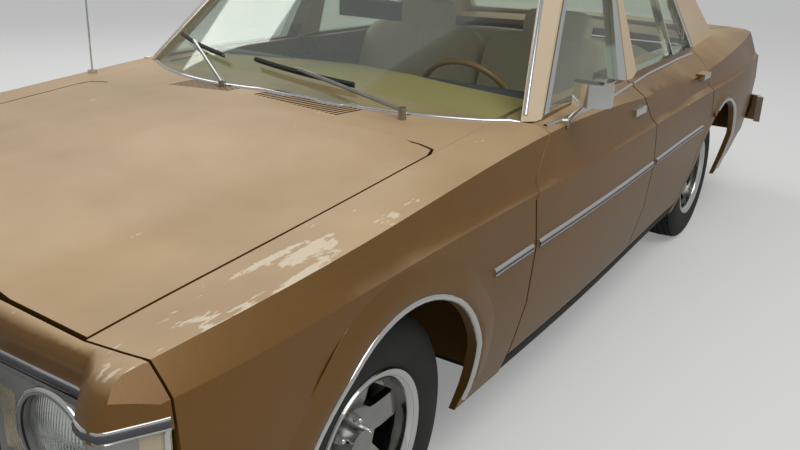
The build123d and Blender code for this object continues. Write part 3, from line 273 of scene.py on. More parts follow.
@dataclass(frozen=True)
class Pane(Finish):
    """Clear or tinted glass that light passes through."""

    clear: float = 0.85
    shine: float = 0.5

    def build(self) -> bpy.types.Material:
        """Mixes a tinted see-through sheet with a thin glossy face."""
        material, surface, _ = self.shader()
        tree = material.node_tree
        tree.nodes.remove(surface)
        see = add_node(tree, "ShaderNodeBsdfTransparent", None, {0: linear(self.colour)})
        gloss = add_node(tree, "ShaderNodeBsdfGlossy", None,
                         {0: linear(self.shade), "Roughness": self.roughness})
        facing = add_node(tree, "ShaderNodeFresnel", None, {"IOR": 1.45})
        share = add_node(tree, "ShaderNodeMath", {"operation": "MULTIPLY_ADD", "use_clamp": True},
                         {0: facing.outputs[0], 1: self.shine, 2: 1 - self.clear})
        mix = add_node(tree, "ShaderNodeMixShader", None,
                       {0: share.outputs[0], 1: see.outputs[0], 2: gloss.outputs[0]})
        tree.links.new(mix.outputs[0], tree.nodes["Material Output"].inputs[0])
        return material


@dataclass(frozen=True)
class Vinyl(Finish):
    """Embossed vinyl cloth: small rounded cells with a soft sheen."""

    def relief(self, tree: bpy.types.NodeTree, place: bpy.types.NodeSocket) -> bpy.types.NodeSocket:
        """Height of the embossed cells."""
        cells = add_node(tree, "ShaderNodeTexVoronoi", {"feature": "F1"},
                         {"Vector": place, "Scale": 1000 / self.grain_mm})
        return cells.outputs["Distance"]


@dataclass(frozen=True)
class WoodLook(Finish):
    """Moulded plastic with printed wood grain."""

    def colours(self, tree: bpy.types.NodeTree, place: bpy.types.NodeSocket) -> bpy.types.NodeSocket:
        """Streaks between the two tones."""
        mapping = add_node(tree, "ShaderNodeMapping", None, {0: place, "Scale": (6.0, 6.0, 60.0)})
        streaks = add_node(tree, "ShaderNodeTexNoise", None,
                           {"Vector": mapping.outputs[0], "Scale": 6.0, "Detail": 6.0, "Distortion": 1.2})
        mix = add_node(tree, "ShaderNodeMix", {"data_type": "RGBA"}, {
            FACTOR: streaks.outputs[0], FIRST: linear(self.colour), SECOND: linear(self.shade)})
        return mix.outputs[MIXED]


@dataclass(frozen=True)
class FlutedLens(Finish):
    """Pressed lamp glass over a silvered bowl, with upright flutes."""

    # The wave texture turns through this angle for each metre, at a scale of 1.
    wave_radians: float = 20.0

    def relief(self, tree: bpy.types.NodeTree, place: bpy.types.NodeSocket) -> bpy.types.NodeSocket:
        """Height of the flutes, one for each grain_mm across the car."""
        scale = 2 * math.pi / (self.wave_radians * self.grain_mm * MM)
        flutes = add_node(tree, "ShaderNodeTexWave", {"bands_direction": "Y"},
                          {"Vector": place, "Scale": scale, "Distortion": 0.6})
        return flutes.outputs["Fac"]


# Each finish is named for what it is made of and how its surface was made, or for the painted light or shade
# it carries.
# Its numbers are its share of metal, its roughness, its coat, its grain in millimetres, the grain's strength
# and its patches' size.
FINISHES: dict[str, Finish] = {
    # Sprayed metallic enamel that glints bronze where sound; tan where chalky, partly painted sunlight on
    # top.
    "paint": AgedPaint("sprayed_bronze_enamel", "80591f", "694817", 0.45, 0.4, Coat.THIN, 3.0, 0.02, 500),
    # Grained vinyl cloth glued over the roof, matt beige.
    "roof": Vinyl("grained_beige_vinyl", "d3bfa2", "c5b092", 0.0, 0.62, Coat.BARE, 3.5, 0.25, 400),
    # Bright nickel-chrome plate, slightly hazed.
    "chrome": Finish("nickel_chrome_plate", "e2e2e0", "cfcfcd", 1.0, 0.07, Coat.BARE, 6.0, 0.01, 120),
    # The same plate after years outdoors, greyer and less of a mirror.
    "worn_chrome": Finish("weathered_chrome_plate", "b9b8b4", "8f8e8a", 1.0, 0.2, Coat.BARE, 4.0, 0.04, 60),
    # Silver paint round the lamps, soft and grey beside the plate.
    "silver_paint": Finish("sprayed_silver_bezel_paint", "a9a9a6", "969693", 0.7, 0.35, Coat.THIN,
                           2.0, 0.03, 80),
    # Painted shade inside the louvres: brown enamel darkened to stand for the shade that fills the slots.
    "louvre_shade": Finish("painted_louvre_shade_enamel", "3a2a14", "2c2010", 0.0, 0.8, Coat.BARE, 3.0, 0.05, 80),
    # Moulded insert, a flat grey line between bright edges.
    "dark_insert": Finish("grey_moulded_insert", "565359", "47454a", 0.0, 0.55, Coat.BARE, 2.0, 0.08, 80),
    # Moulded rubber, black and nearly matt.
    "rubber": Finish("moulded_black_rubber", "1c1c1b", "262524", 0.0, 0.72, Coat.BARE, 1.5, 0.15, 90),
    # Tyre rubber, greyed in patches by dust.
    "tyre": Finish("vulcanised_tyre_rubber", "1d1d1c", "2b2a28", 0.0, 0.8, Coat.BARE, 2.5, 0.2, 140),
    # Sprayed underbody coat, black, coarse and matt.
    "under": Finish("sprayed_underbody_black", "1a1a19", "2a2724", 0.0, 0.85, Coat.BARE, 5.0, 0.3, 150),
    # Painted castings, blue-grey and rough.
    "iron": Finish("painted_cast_iron", "2c3a44", "39342e", 0.3, 0.6, Coat.BARE, 4.0, 0.35, 120),
    # Plated steel gone dull, brownish in places.
    "steel": Finish("dull_plated_steel", "6d6a65", "5a4c3f", 0.7, 0.5, Coat.BARE, 3.0, 0.15, 100),
    # Embossed vinyl in the cabin, soft sheen on fine cells; seat and dash top paler, partly painted sunlight.
    "seat": Vinyl("sunlit_tan_seat_vinyl", "e6dac2", "dacdb3", 0.0, 0.5, Coat.BARE, 3.0, 0.12, 200),
    "dash": Vinyl("moulded_tan_dash_vinyl", "b39d72", "a38e66", 0.0, 0.55, Coat.BARE, 3.0, 0.12, 200),
    "dash_top": Vinyl("sunlit_padded_dash_top_vinyl", "b9a76f", "a99862", 0.0, 0.6, Coat.BARE, 3.0, 0.12, 200),
    "dash_pad": Vinyl("padded_slate_dash_edge", "4b4e55", "3f4248", 0.0, 0.55, Coat.BARE, 3.0, 0.12, 200),
    # Moulded plastic, black with a faint gloss.
    "black": Finish("moulded_black_plastic", "161616", "202020", 0.0, 0.45, Coat.BARE, 2.0, 0.05, 80),
    # Varnished plastic with brown streaks.
    "wood": WoodLook("wood_look_rim_plastic", "a2793e", "77522a", 0.0, 0.3, Coat.THIN, 2.0, 0.02, 80),
    # Moulded lens, deep red with a wet gloss.
    "red_lens": Finish("moulded_red_lens", "8c1210", "6f0c0b", 0.0, 0.12, Coat.GLOSSY, 5.0, 0.2, 60),
    # Pressed lenses over silvered bowls, bright with upright streaks.
    "clear_lens": FlutedLens("pressed_headlamp_glass", "e9ebe8", "c9cdca", 0.85, 0.16, Coat.GLOSSY,
                             7.0, 0.9, 40),
    "parking_lens": FlutedLens("pressed_parking_lens", "cfc3a6", "b3a586", 0.6, 0.2, Coat.GLOSSY,
                               5.0, 0.8, 30),
    # Lens plastic gone cream and slightly cloudy.
    "marker_lens": Finish("aged_marker_plastic", "c6bba0", "b3a584", 0.0, 0.3, Coat.THIN, 5.0, 0.2, 40),
    # Toughened glass with a faint green tint.
    "window": Pane("tinted_window_glass", "f6faf5", "ffffff", 0.0, 0.01, clear=1.0, shine=0.3),
    # Silvered glass, a plain mirror.
    "silver": Finish("silvered_mirror_glass", "f0f2f3", "e6e9ea", 1.0, 0.01, Coat.BARE, 8.0, 0.0, 90),
}
MATERIALS: dict[str, bpy.types.Material] = {}


def material(name: str) -> bpy.types.Material:
    """The named finish's material, made when first asked for."""
    if name not in MATERIALS:
        MATERIALS[name] = FINISHES[name].build()
    return MATERIALS[name]


def make_piece(name: str, verts: Sequence[Vector], faces: Sequence[Sequence[int]], finish: str,
               body: str, angle: float = 35.0) -> bpy.types.Object:
    """Makes a mesh piece that rides on a body.

    Args:
        name: The piece's name.
        verts: Points in metres.
        faces: Corner indices.
        finish: Name of its finish.
        body: The CAD body that carries it.
        angle: Edges sharper than this stay sharp.

    Returns:
        The new object.
    """
    mesh = bpy.data.meshes.new(name)
    mesh.from_pydata([tuple(v) for v in verts], [], [tuple(f) for f in faces])
    work = bmesh.new()
    work.from_mesh(mesh)
    bmesh.ops.remove_doubles(work, verts=work.verts, dist=1e-6)
    bmesh.ops.recalc_face_normals(work, faces=work.faces)
    work.to_mesh(mesh)
    work.free()
    return dress_mesh(name, mesh, finish, body, angle)


def dress_mesh(name: str, mesh: bpy.types.Mesh, finish: str, body: str, angle: float) -> bpy.types.Object:
    """Links a finished mesh as a piece with its finish, smoothing and body."""
    for face in mesh.polygons:
        face.use_smooth = True
    mesh.set_sharp_from_angle(angle=math.radians(angle))
    mesh.materials.clear()
    mesh.materials.append(material(finish))
    piece = bpy.data.objects.new(name, mesh)
    bpy.context.scene.collection.objects.link(piece)
    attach(piece, body)
    LOG.info("%s on %s: %d faces", name, body, len(mesh.polygons))
    return piece


def body_of(node: str) -> str:
    """The body that a CAD node rides on."""
    for body, nodes in frame["record"]["behaviour"]["bodies"].items():
        if node in nodes:
            return body
    raise KeyError(node)


# Where the lines that find the skin start, clear of the car beside, above and beyond its ends.
FAR_SIDE, FAR_UP, FAR_END = 1.5, 2.2, 3.5


class Skin:
    """Outer faces of some CAD nodes, which trim is laid on."""

    def __init__(self, nodes: Sequence[str]) -> None:
        verts: list[Vector] = []
        faces: list[list[int]] = []
        for node in nodes:
            mesh = frame["nodes"][node].data
            start = len(verts)
            verts += [v.co.copy() for v in mesh.vertices]
            faces += [[start + i for i in p.vertices] for p in mesh.polygons]
        self.tree = BVHTree.FromPolygons(verts, faces)

    def hit(self, start: Point, towards: Point) -> tuple[Vector, Vector]:
        """Where a line from start first meets the skin, with the face's normal."""
        point, normal, _, _ = self.tree.ray_cast(Vector(start), Vector(towards).normalized())
        if point is None:
            point, normal, _, _ = self.tree.find_nearest(Vector(start) + Vector(towards))
        if normal.dot(Vector(towards)) > 0:
            normal = -normal
        return point, normal

    def side(self, x: float, z: float, side: int) -> tuple[Vector, Vector]:
        """The skin seen from the car's side, at a place along the car and a height."""
        return self.hit((x, side * FAR_SIDE, z), (0, -side, 0))

    def top(self, x: float, y: float) -> tuple[Vector, Vector]:
        """The skin seen from above."""
        return self.hit((x, y, FAR_UP), (0, 0, -1))

    def front(self, y: float, z: float, facing: int = 1) -> tuple[Vector, Vector]:
        """The skin seen from ahead, or from behind where facing is -1."""
        return self.hit((facing * FAR_END, y, z), (-facing, 0, 0))


# Cross-sections of trim, as (across, out) in millimetres.
def half_round(width: float, height: float, steps: int = 6) -> list[tuple[float, float]]:
    """A low arch that stands on the skin."""
    turn = [math.pi * i / steps for i in range(steps + 1)]
    arch = [(-width / 2 * math.cos(t), height * math.sin(t)) for t in turn]
    return [(-width / 2, -1.5)] + arch + [(width / 2, -1.5)]


def flat_strip(width: float, height: float, round_mm: float = 1.0) -> list[tuple[float, float]]:
    """A flat strip with broken edges."""
    w, r = width / 2, round_mm
    return [(-w, -1.5), (-w, height - r), (-w + r, height), (w - r, height), (w, height - r), (w, -1.5)]


def join_rings(rings: int, size: int, closed: bool = True) -> list[tuple[int, ...]]:
    """Faces between neighbouring rings of points.

    Args:
        rings: How many rings there are.
        size: How many points each ring has.
        closed: Whether the last ring joins the first.

    Returns:
        Corner indices, ring by ring.
    """
    faces: list[tuple[int, ...]] = []
    for i in range(rings if closed else rings - 1):
        j = (i + 1) % rings
        for k in range(size):
            m = (k + 1) % size
            faces.append((i * size + k, j * size + k, j * size + m, i * size + m))
    return faces


def sweep(name: str, path: Sequence[tuple[Vector, Vector]], profile: Sequence[tuple[float, float]],
          finish: str, body: str, closed: bool = False, shift: float = 0.0) -> bpy.types.Object:
    """Carries a cross-section along a path on the skin.

    Args:
        name: The piece's name.
        path: Points with the outward direction at each.
        profile: The section as (across, out) in millimetres.
        finish: Name of its finish.
        body: The body it rides on.
        closed: Whether the path returns to its start.
        shift: How far the path moves out, in millimetres.

    Returns:
        The new object.
    """
    verts: list[Vector] = []
    count, size = len(path), len(profile)
    for i, (point, out) in enumerate(path):
        before = path[i - 1][0] if i or closed else point
        after = path[(i + 1) % count][0] if i < count - 1 or closed else point
        along = (after - before).normalized()
        normal = (out - along * out.dot(along)).normalized()
        across = along.cross(normal)
        verts += [point + across * a * MM + normal * (h + shift) * MM for a, h in profile]
    faces = join_rings(count, size, closed)
    if not closed:
        faces.append(tuple(range(size))[::-1])
        faces.append(tuple((count - 1) * size + k for k in range(size)))
    return make_piece(name, verts, faces, finish, body, 50)


def smooth_path(path: list[tuple[Vector, Vector]], rounds: int = 2) -> list[tuple[Vector, Vector]]:
    """Averages the outward directions along a path, so that facets don't show in the trim."""
    for _ in range(rounds):
        outs = [p[1] for p in path]
        path = [(p, (outs[max(i - 1, 0)] + outs[i] * 2 + outs[min(i + 1, len(outs) - 1)]).normalized())
                for i, (p, _) in enumerate(path)]
    return path


def spread(start: float, end: float, count: int) -> list[float]:
    """Evenly spaced values from start to end."""
    return [start + (end - start) * i / (count - 1) for i in range(count)]


def turned(name: str, profile: Sequence[tuple[float, float]], centre: Point, side: int, finish: str,
           body: str, steps: int = 72, angle: float = 40.0) -> bpy.types.Object:
    """Turns a closed section round a wheel's axle.

    Args:
        name: The piece's name.
        profile: The section as (radius, outward) in millimetres.
        centre: The wheel's middle.
        side: 1 on the left, -1 on the right.
        finish: Name of its finish.
        body: The body it rides on.
        steps: How many facets go round.
        angle: Edges sharper than this stay sharp.

    Returns:
        The new object.
    """
    verts = []
    for i in range(steps):
        turn = 2 * math.pi * i / steps
        for r, w in profile:
            verts.append(Vector((centre[0] + r * MM * math.sin(turn), centre[1] + side * w * MM,
                                 centre[2] + r * MM * math.cos(turn))))
    return make_piece(name, verts, join_rings(steps, len(profile)), finish, body, angle)


def rounded_box(name: str, low: Point, high: Point, radius: float, finish: str, body: str,
                segments: int = 3) -> bpy.types.Object:
    """A box with rounded edges, between two corners."""
    work = bmesh.new()
    bmesh.ops.create_cube(work, size=1.0)
    centre = (Vector(low) + Vector(high)) / 2
    size = Vector(high) - Vector(low)
    for vert in work.verts:
        vert.co = Vector(vert.co[i] * size[i] + centre[i] for i in range(3))
    bmesh.ops.bevel(work, geom=work.edges[:], offset=radius, segments=segments, profile=0.5,
                    affect="EDGES", clamp_overlap=True)
    mesh = bpy.data.meshes.new(name)
    work.to_mesh(mesh)
    work.free()
    return dress_mesh(name, mesh, finish, body, 40)


def merged_copy(node: str, name: str, finish: str, angle: float = 28.0) -> bpy.types.Object:
    """A welded copy of a CAD node, which shades smoothly and stands in for it."""
    mesh = frame["nodes"][node].data.copy()
    work = bmesh.new()
    work.from_mesh(mesh)
    bmesh.ops.remove_doubles(work, verts=work.verts, dist=2e-5)
    work.to_mesh(mesh)
    work.free()
    if mesh.has_custom_normals:
        mesh.attributes.remove(mesh.attributes["custom_normal"])
    piece = dress_mesh(name, mesh, finish, body_of(node), angle)
    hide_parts(node)
    return piece


def shade_recesses(piece: bpy.types.Object, finish: str, inside: Callable[[Vector], bool],
                   level: float = 0.6) -> None:
    """Gives the walls and floors of openings in a region a darker finish, as painted shade.

    Args:
        piece: The piece to repaint.
        finish: The finish's name, a darker one that stands for the shade.
        inside: Tests a face's middle.
        level: Faces whose normal points up less than this count as walls.
    """
    mesh = piece.data
    mesh.materials.append(material(finish))
    for face in mesh.polygons:
        if face.normal.z < level and inside(face.center):
            face.material_index = len(mesh.materials) - 1


def paint_regions(piece: bpy.types.Object, regions: Sequence[tuple[str, Callable[[Vector], bool]]]) -> None:
    """Gives faces in a region another finish.

    Args:
        piece: The piece to repaint.
        regions: A finish's name with a test of a face's middle; a later one wins.
    """
    mesh = piece.data
    for finish, inside in regions:
        mesh.materials.append(material(finish))
        index = len(mesh.materials) - 1
        for face in mesh.polygons:
            if inside(face.center):
                face.material_index = index


@dataclass
class RingRepeater:
    """Copies a small part round a ring with Geometry Nodes."""

    count: int
    radius: float

    def tree(self, part: bpy.types.Object, finish: str) -> bpy.types.NodeTree:
        """Builds the node tree, with named inputs for the count and the radius."""
        tree = bpy.data.node_groups.new("repeat_ring", "GeometryNodeTree")
        for label, kind in (("Count", "NodeSocketInt"), ("Radius", "NodeSocketFloat")):
            tree.interface.new_socket(label, in_out="INPUT", socket_type=kind)
        tree.interface.new_socket("Geometry", in_out="OUTPUT", socket_type="NodeSocketGeometry")
        given = add_node(tree, "NodeGroupInput")
        base = add_node(tree, "GeometryNodeMeshCircle", None,
                        {"Vertices": given.outputs["Count"], "Radius": given.outputs["Radius"]})
        step = add_node(tree, "ShaderNodeMath", {"operation": "DIVIDE"},
                        {0: 2 * math.pi, 1: given.outputs["Count"]})
        index = add_node(tree, "GeometryNodeInputIndex")
        turn = add_node(tree, "ShaderNodeMath", {"operation": "MULTIPLY"},
                        {0: step.outputs[0], 1: index.outputs[0]})
        spin = add_node(tree, "ShaderNodeCombineXYZ", None, {2: turn.outputs[0]})
        source = add_node(tree, "GeometryNodeObjectInfo", None, {"Object": part})
        copies = add_node(tree, "GeometryNodeInstanceOnPoints", None, {
            "Points": base.outputs[0], "Instance": source.outputs["Geometry"], "Rotation": spin.outputs[0]})
        real = add_node(tree, "GeometryNodeRealizeInstances", None, {0: copies.outputs[0]})
        dressed = add_node(tree, "GeometryNodeSetMaterial", None, {"Geometry": real.outputs[0]})
        dressed.inputs["Material"].default_value = material(finish)
        tree.links.new(dressed.outputs[0], add_node(tree, "NodeGroupOutput").inputs[0])
        return tree

    def build(self, name: str, part_mesh: bpy.types.Mesh, place: Matrix, finish: str,
              body: str) -> bpy.types.Object:
        """Lays the copies out and keeps them as one plain mesh.

        Args:
            name: The piece's name.
            part_mesh: The small part, round its own origin.
            place: Where the ring goes.
            finish: Name of its finish.
            body: The body it rides on.

        Returns:
            The new object.
        """
        part = bpy.data.objects.new(name + "_part", part_mesh)
        holder = bpy.data.objects.new(name + "_holder", bpy.data.meshes.new(name + "_holder"))
        bpy.context.scene.collection.objects.link(holder)
        modifier = holder.modifiers.new("repeat", "NODES")
        modifier.node_group = self.tree(part, finish)
        names = {item.name: item.identifier for item in modifier.node_group.interface.items_tree}
        modifier[names["Count"]] = self.count
        modifier[names["Radius"]] = self.radius
        depsgraph = bpy.context.evaluated_depsgraph_get()
        mesh = bpy.data.meshes.new_from_object(holder.evaluated_get(depsgraph))
        bpy.data.objects.remove(holder)
        bpy.data.objects.remove(part)
        mesh.transform(place)
        return dress_mesh(name, mesh, finish, body, 35)


def small_part(maker: Callable[[bmesh.types.BMesh], None]) -> bpy.types.Mesh:
    """A small mesh made by a bmesh function."""
    work = bmesh.new()
    maker(work)
    mesh = bpy.data.meshes.new("small_part")
    work.to_mesh(mesh)
    work.free()
    return mesh


def nut_shape(radius: float, height: float) -> Callable[[bmesh.types.BMesh], None]:
    """A domed hexagon nut that stands along +Z."""
    top_share, dome_share, dome_squash = 0.86, 0.72, 0.8

    def make(work: bmesh.types.BMesh) -> None:
        bmesh.ops.create_cone(work, cap_ends=True, segments=6, radius1=radius, radius2=radius * top_share,
                              depth=height, matrix=Matrix.Translation((0, 0, height / 2)))
        squash = Matrix.Diagonal((1, 1, dome_squash, 1))
        bmesh.ops.create_uvsphere(work, u_segments=10, v_segments=6, radius=radius * dome_share,
                                  matrix=Matrix.Translation((0, 0, height)) @ squash)

    return make


PAINTED = ("front_fenders", "rear_body", "header_panel", "hood", "trunk_lid", "cowl_and_firewall",
           "door_front_left", "door_front_right", "door_rear_left", "door_rear_right")
SKIN_NODES = PAINTED + ("floor_pan",)


@dataclass
class Bodywork:
    """The painted panels, the vinyl roof and the glass."""

    panels: tuple[str, ...] = PAINTED
    belt_z: float = 0.951
    frame_y: float = 0.6
    frame_post: tuple[float, float] = (-0.265, -0.075)
    post_lean: float = 0.16
    front_handle_x: float = 0.034
    rear_handle_x: float = -0.899
    handle_half: float = 0.056
    handle_y: float = 0.8825
    handle_z: tuple[float, float] = (0.850, 0.876)
    louvre_x: tuple[float, float] = (0.93, 1.06)
    louvre_half: float = 0.40
    louvre_z: float = 0.85

    def in_post(self, point: Vector) -> bool:
        """Whether a point lies on the covered centre pillar, which leans back."""
        lean = self.post_lean * (point.z - self.belt_z)
        return point.z > self.belt_z and self.frame_post[0] < point.x + lean < self.frame_post[1]

    def door(self, word: str, handle_x: float) -> None:
        """Paints a door's leaf, and gives its frame, post and handle their own finishes."""
        piece = merged_copy(f"door_{word}", f"door_{word}_skin", "paint")

        def on_handle(point: Vector) -> bool:
            return (abs(point.x - handle_x) < self.handle_half and abs(point.y) > self.handle_y
                    and self.handle_z[0] < point.z < self.handle_z[1])

        paint_regions(piece, (("chrome", lambda p: p.z > self.belt_z and abs(p.y) > self.frame_y),
                              ("roof", self.in_post), ("chrome", on_handle)))

    def in_louvres(self, point: Vector) -> bool:
        """Whether a point lies in the cowl's two louvred fields."""
        return (self.louvre_x[0] < point.x < self.louvre_x[1] and abs(point.y) < self.louvre_half
                and point.z > self.louvre_z)

    def build(self) -> None:
        """Dresses every panel and pane."""
        for node in self.panels:
            if not node.startswith("door_"):
                piece = merged_copy(node, f"{node}_skin", "paint")
                if node == "cowl_and_firewall":
                    # The louvres' slot walls get a dark finish as painted shade.
                    shade_recesses(piece, "louvre_shade", self.in_louvres)
        for _, word in SIDES:
            self.door(f"front_{word}", self.front_handle_x)
            self.door(f"rear_{word}", self.rear_handle_x)
        merged_copy("roof_and_pillars", "roof_cover", "roof")
        for node in ("windshield_and_backlight", "glass_front_left", "glass_front_right",
                     "glass_rear_left", "glass_rear_right"):
            merged_copy(node, f"{node}_pane", "window")
        for node, finish in (("floor_pan", "under"), ("engine", "iron"), ("fuel_tank", "steel"),
                             ("exhaust", "steel"), ("front_suspension", "under"), ("rear_axle", "under"),
                             ("knuckle_left", "iron"), ("knuckle_right", "iron")):
            merged_copy(node, f"{node}_shown", finish)


WINDSHIELD_BASE = (0.975, 0.955)
WINDSHIELD_LEAN, WINDSHIELD_BOW_R = 1.27, 2.0
GLASS_ANGLE = math.atan(WINDSHIELD_LEAN)
GLASS_NORMAL = Vector((math.cos(GLASS_ANGLE), 0, math.sin(GLASS_ANGLE)))


def glass_point(y: float, z: float, lift_mm: float) -> Vector:
    """A point off the windshield's outer face, at a place across and a height."""
    bow = WINDSHIELD_BOW_R - math.sqrt(WINDSHIELD_BOW_R ** 2 - y * y)
    x = WINDSHIELD_BASE[0] - (z - WINDSHIELD_BASE[1]) * WINDSHIELD_LEAN - bow / math.cos(GLASS_ANGLE)
    return Vector((x + lift_mm * MM * math.cos(GLASS_ANGLE), y, z + lift_mm * MM * math.sin(GLASS_ANGLE)))


@dataclass
class Trim:
    """Bright mouldings along the sides, the belt, the arches and the roof."""

    moulding_z: float = 0.655
    fender_run: tuple[float, float] = (1.190, 0.972)
    front_door_run: tuple[float, float] = (0.934, -0.066)
    rear_door_run: tuple[float, float] = (-0.106, -0.800)
    belt_z: float = 0.929
    front_belt: tuple[float, float] = (0.735, -0.083)
    rear_belt: tuple[float, float] = (-0.111, -1.060)
    arch_r: float = 0.385
    arch_z: float = 0.318
    lip_out: float = 0.009
    brow_out: float = 0.018
    surround_half: float = 0.768
    surround_foot: tuple[float, float] = (0.779, 0.925)
    surround_lean: float = 0.3869
    surround_top: float = 1.297
    pillar_z: tuple[float, float] = (0.950, 1.290)
    drip_z: float = 1.2955
    drip_run: tuple[float, float] = (0.320, -0.900)
    marker_x: float = 2.199
    marker_z: tuple[float, float] = (0.752, 0.572)
    header_z: float = 0.757

    def __post_init__(self) -> None:
        self.skin = Skin(SKIN_NODES)
        self.roof = Skin(("roof_and_pillars",))

    def side_run(self, name: str, body: str, side: int, run: tuple[float, float]) -> None:
        """One length of side moulding, bright with a dark line."""
        path = smooth_path([self.skin.side(x, self.moulding_z, side) for x in spread(*run, 14)])
        sweep(name, path, half_round(25, 8), "chrome", body)
        sweep(name + "_line", path, flat_strip(6, 1.4, 0.5), "dark_insert", body, shift=7.4)

    def arch_path(self, side: int, axle_x: float, radius: float,
                  degrees: Sequence[float]) -> list[tuple[Vector, Vector]]:
        """The skin along an arc round a wheel, with each angle measured from straight up."""
        turns = [math.radians(angle) for angle in degrees]
        return [self.skin.side(axle_x + radius * math.sin(t), self.arch_z + radius * math.cos(t), side)
                for t in turns]

    def arch_lip(self, name: str, body: str, side: int, axle_x: float, low: float, high: float) -> None:
        """Bright lip round a wheel arch."""
        path = self.arch_path(side, axle_x, self.arch_r + self.lip_out, spread(low, high, 34))
        sweep(name, smooth_path(path, 4), half_round(18, 11), "chrome", body)

    def brow(self, name: str, side: int, axle_x: float, low: float, high: float, width: float) -> None:
        """Pressed flare round a wheel arch, in the body's colour."""
        path = self.arch_path(side, axle_x, self.arch_r + self.brow_out, spread(low, high, 40))
        profile = [(-4, -1.5), (-4, 6), (0, 9), (0.25 * width, 8.5), (0.5 * width, 6), (0.76 * width, 2.4),
                   (width, -0.8), (width, -1.5)]
        sweep(name, smooth_path(path, 6), [(side * a, h) for a, h in profile], "paint", "root")

    def belt(self, name: str, body: str, side: int, run: tuple[float, float]) -> None:
        """Bright belt moulding under the side glass."""
        path = smooth_path([self.skin.side(x, self.belt_z, side) for x in spread(*run, 16)])
        sweep(name, path, half_round(14, 6), "chrome", body)

    def windshield_surround(self) -> None:
        """Bright strip round the windshield, along its base and up both pillars."""
        cowl = Skin(("cowl_and_firewall", "front_fenders", "door_front_left", "door_front_right"))
        base = []
        for y in spread(-self.surround_half, self.surround_half, 48):
            foot = glass_point(y, 0.952, 14)
            base.append(cowl.top(foot.x, y))
        sweep("windshield_base_trim", smooth_path(base, 3), half_round(16, 7), "chrome", "root")
        for side, word in SIDES:
            path = []
            for z in spread(*self.pillar_z, 16):
                y = self.surround_foot[0] - self.surround_lean * (z - self.surround_foot[1])
                path.append(self.roof.front(side * y, z))
            sweep(f"windshield_pillar_trim_{word}", smooth_path(path, 4), half_round(15, 5), "chrome", "root")
        path = [self.roof.front(y, self.surround_top) for y in spread(-0.63, 0.63, 30)]
        sweep("windshield_top_trim", smooth_path(path, 4), half_round(13, 5), "chrome", "root")

    def drip_rails(self) -> None:
        """Bright gutters along the roof above the doors."""
        for side, word in SIDES:
            path = [self.roof.side(x, self.drip_z, side) for x in spread(*self.drip_run, 30)]
            sweep(f"drip_rail_{word}", smooth_path(path, 4), half_round(13, 9), "chrome", "root")

    def marker_frame(self, name: str, side: int) -> None:
        """Bright upright strip behind a side marker lamp, where the header's band turns down."""
        skin = Skin(("front_lamps", "grille", "header_panel"))
        path = [skin.side(self.marker_x, z, side) for z in spread(*self.marker_z, 12)]
        sweep(name, smooth_path(path, 3), flat_strip(10, 3.5), "chrome", "root")

    def header_trim(self) -> None:
        """Bright band with a dark insert, along the header's foot and round both prows."""
        skin = Skin(("header_panel",))
        z = self.header_z
        flank = [2.196, 2.21, 2.225, 2.24, 2.255, 2.268, 2.278, 2.286]
        face = [0.818, 0.806, 0.792, 0.776, 0.758, 0.742, 0.72, 0.69, 0.65, 0.6, 0.55]
        path = [skin.side(x, z, 1) for x in flank] + [skin.front(y, z) for y in face]
        path += [skin.front(y, z) for y in spread(0.5, -0.5, 20)]
        path += [skin.front(-y, z) for y in face[::-1]] + [skin.side(x, z, -1) for x in flank[::-1]]
        path = smooth_path(path, 1)
        sweep("header_trim", path, flat_strip(22, 3.0), "chrome", "root")
        sweep("header_trim_insert", path, flat_strip(13, 1.5), "dark_insert", "root", shift=3.0)

    def build(self) -> None:
        """Makes every moulding on both sides."""
        for side, word in SIDES:
            self.side_run(f"side_moulding_fender_{word}", "root", side, self.fender_run)
            self.side_run(f"side_moulding_front_{word}", f"door_front_{word}", side, self.front_door_run)
            self.side_run(f"side_moulding_rear_{word}", f"door_rear_{word}", side, self.rear_door_run)
            self.arch_lip(f"arch_lip_front_{word}", "root", side, FRONT_AXLE_X, -96, 96)
            self.arch_lip(f"arch_lip_rear_{word}", "root", side, REAR_AXLE_X, -96, 22)
            self.brow(f"arch_brow_front_{word}", side, FRONT_AXLE_X, -88, 88, 74)
            self.brow(f"arch_brow_rear_{word}", side, REAR_AXLE_X, -88, 30, 36)
            self.belt(f"belt_moulding_front_{word}", f"door_front_{word}", side, self.front_belt)
            self.belt(f"belt_moulding_rear_{word}", f"door_rear_{word}", side, self.rear_belt)
            self.marker_frame(f"marker_frame_{word}", side)
        self.windshield_surround()
        self.drip_rails()
        self.header_trim()


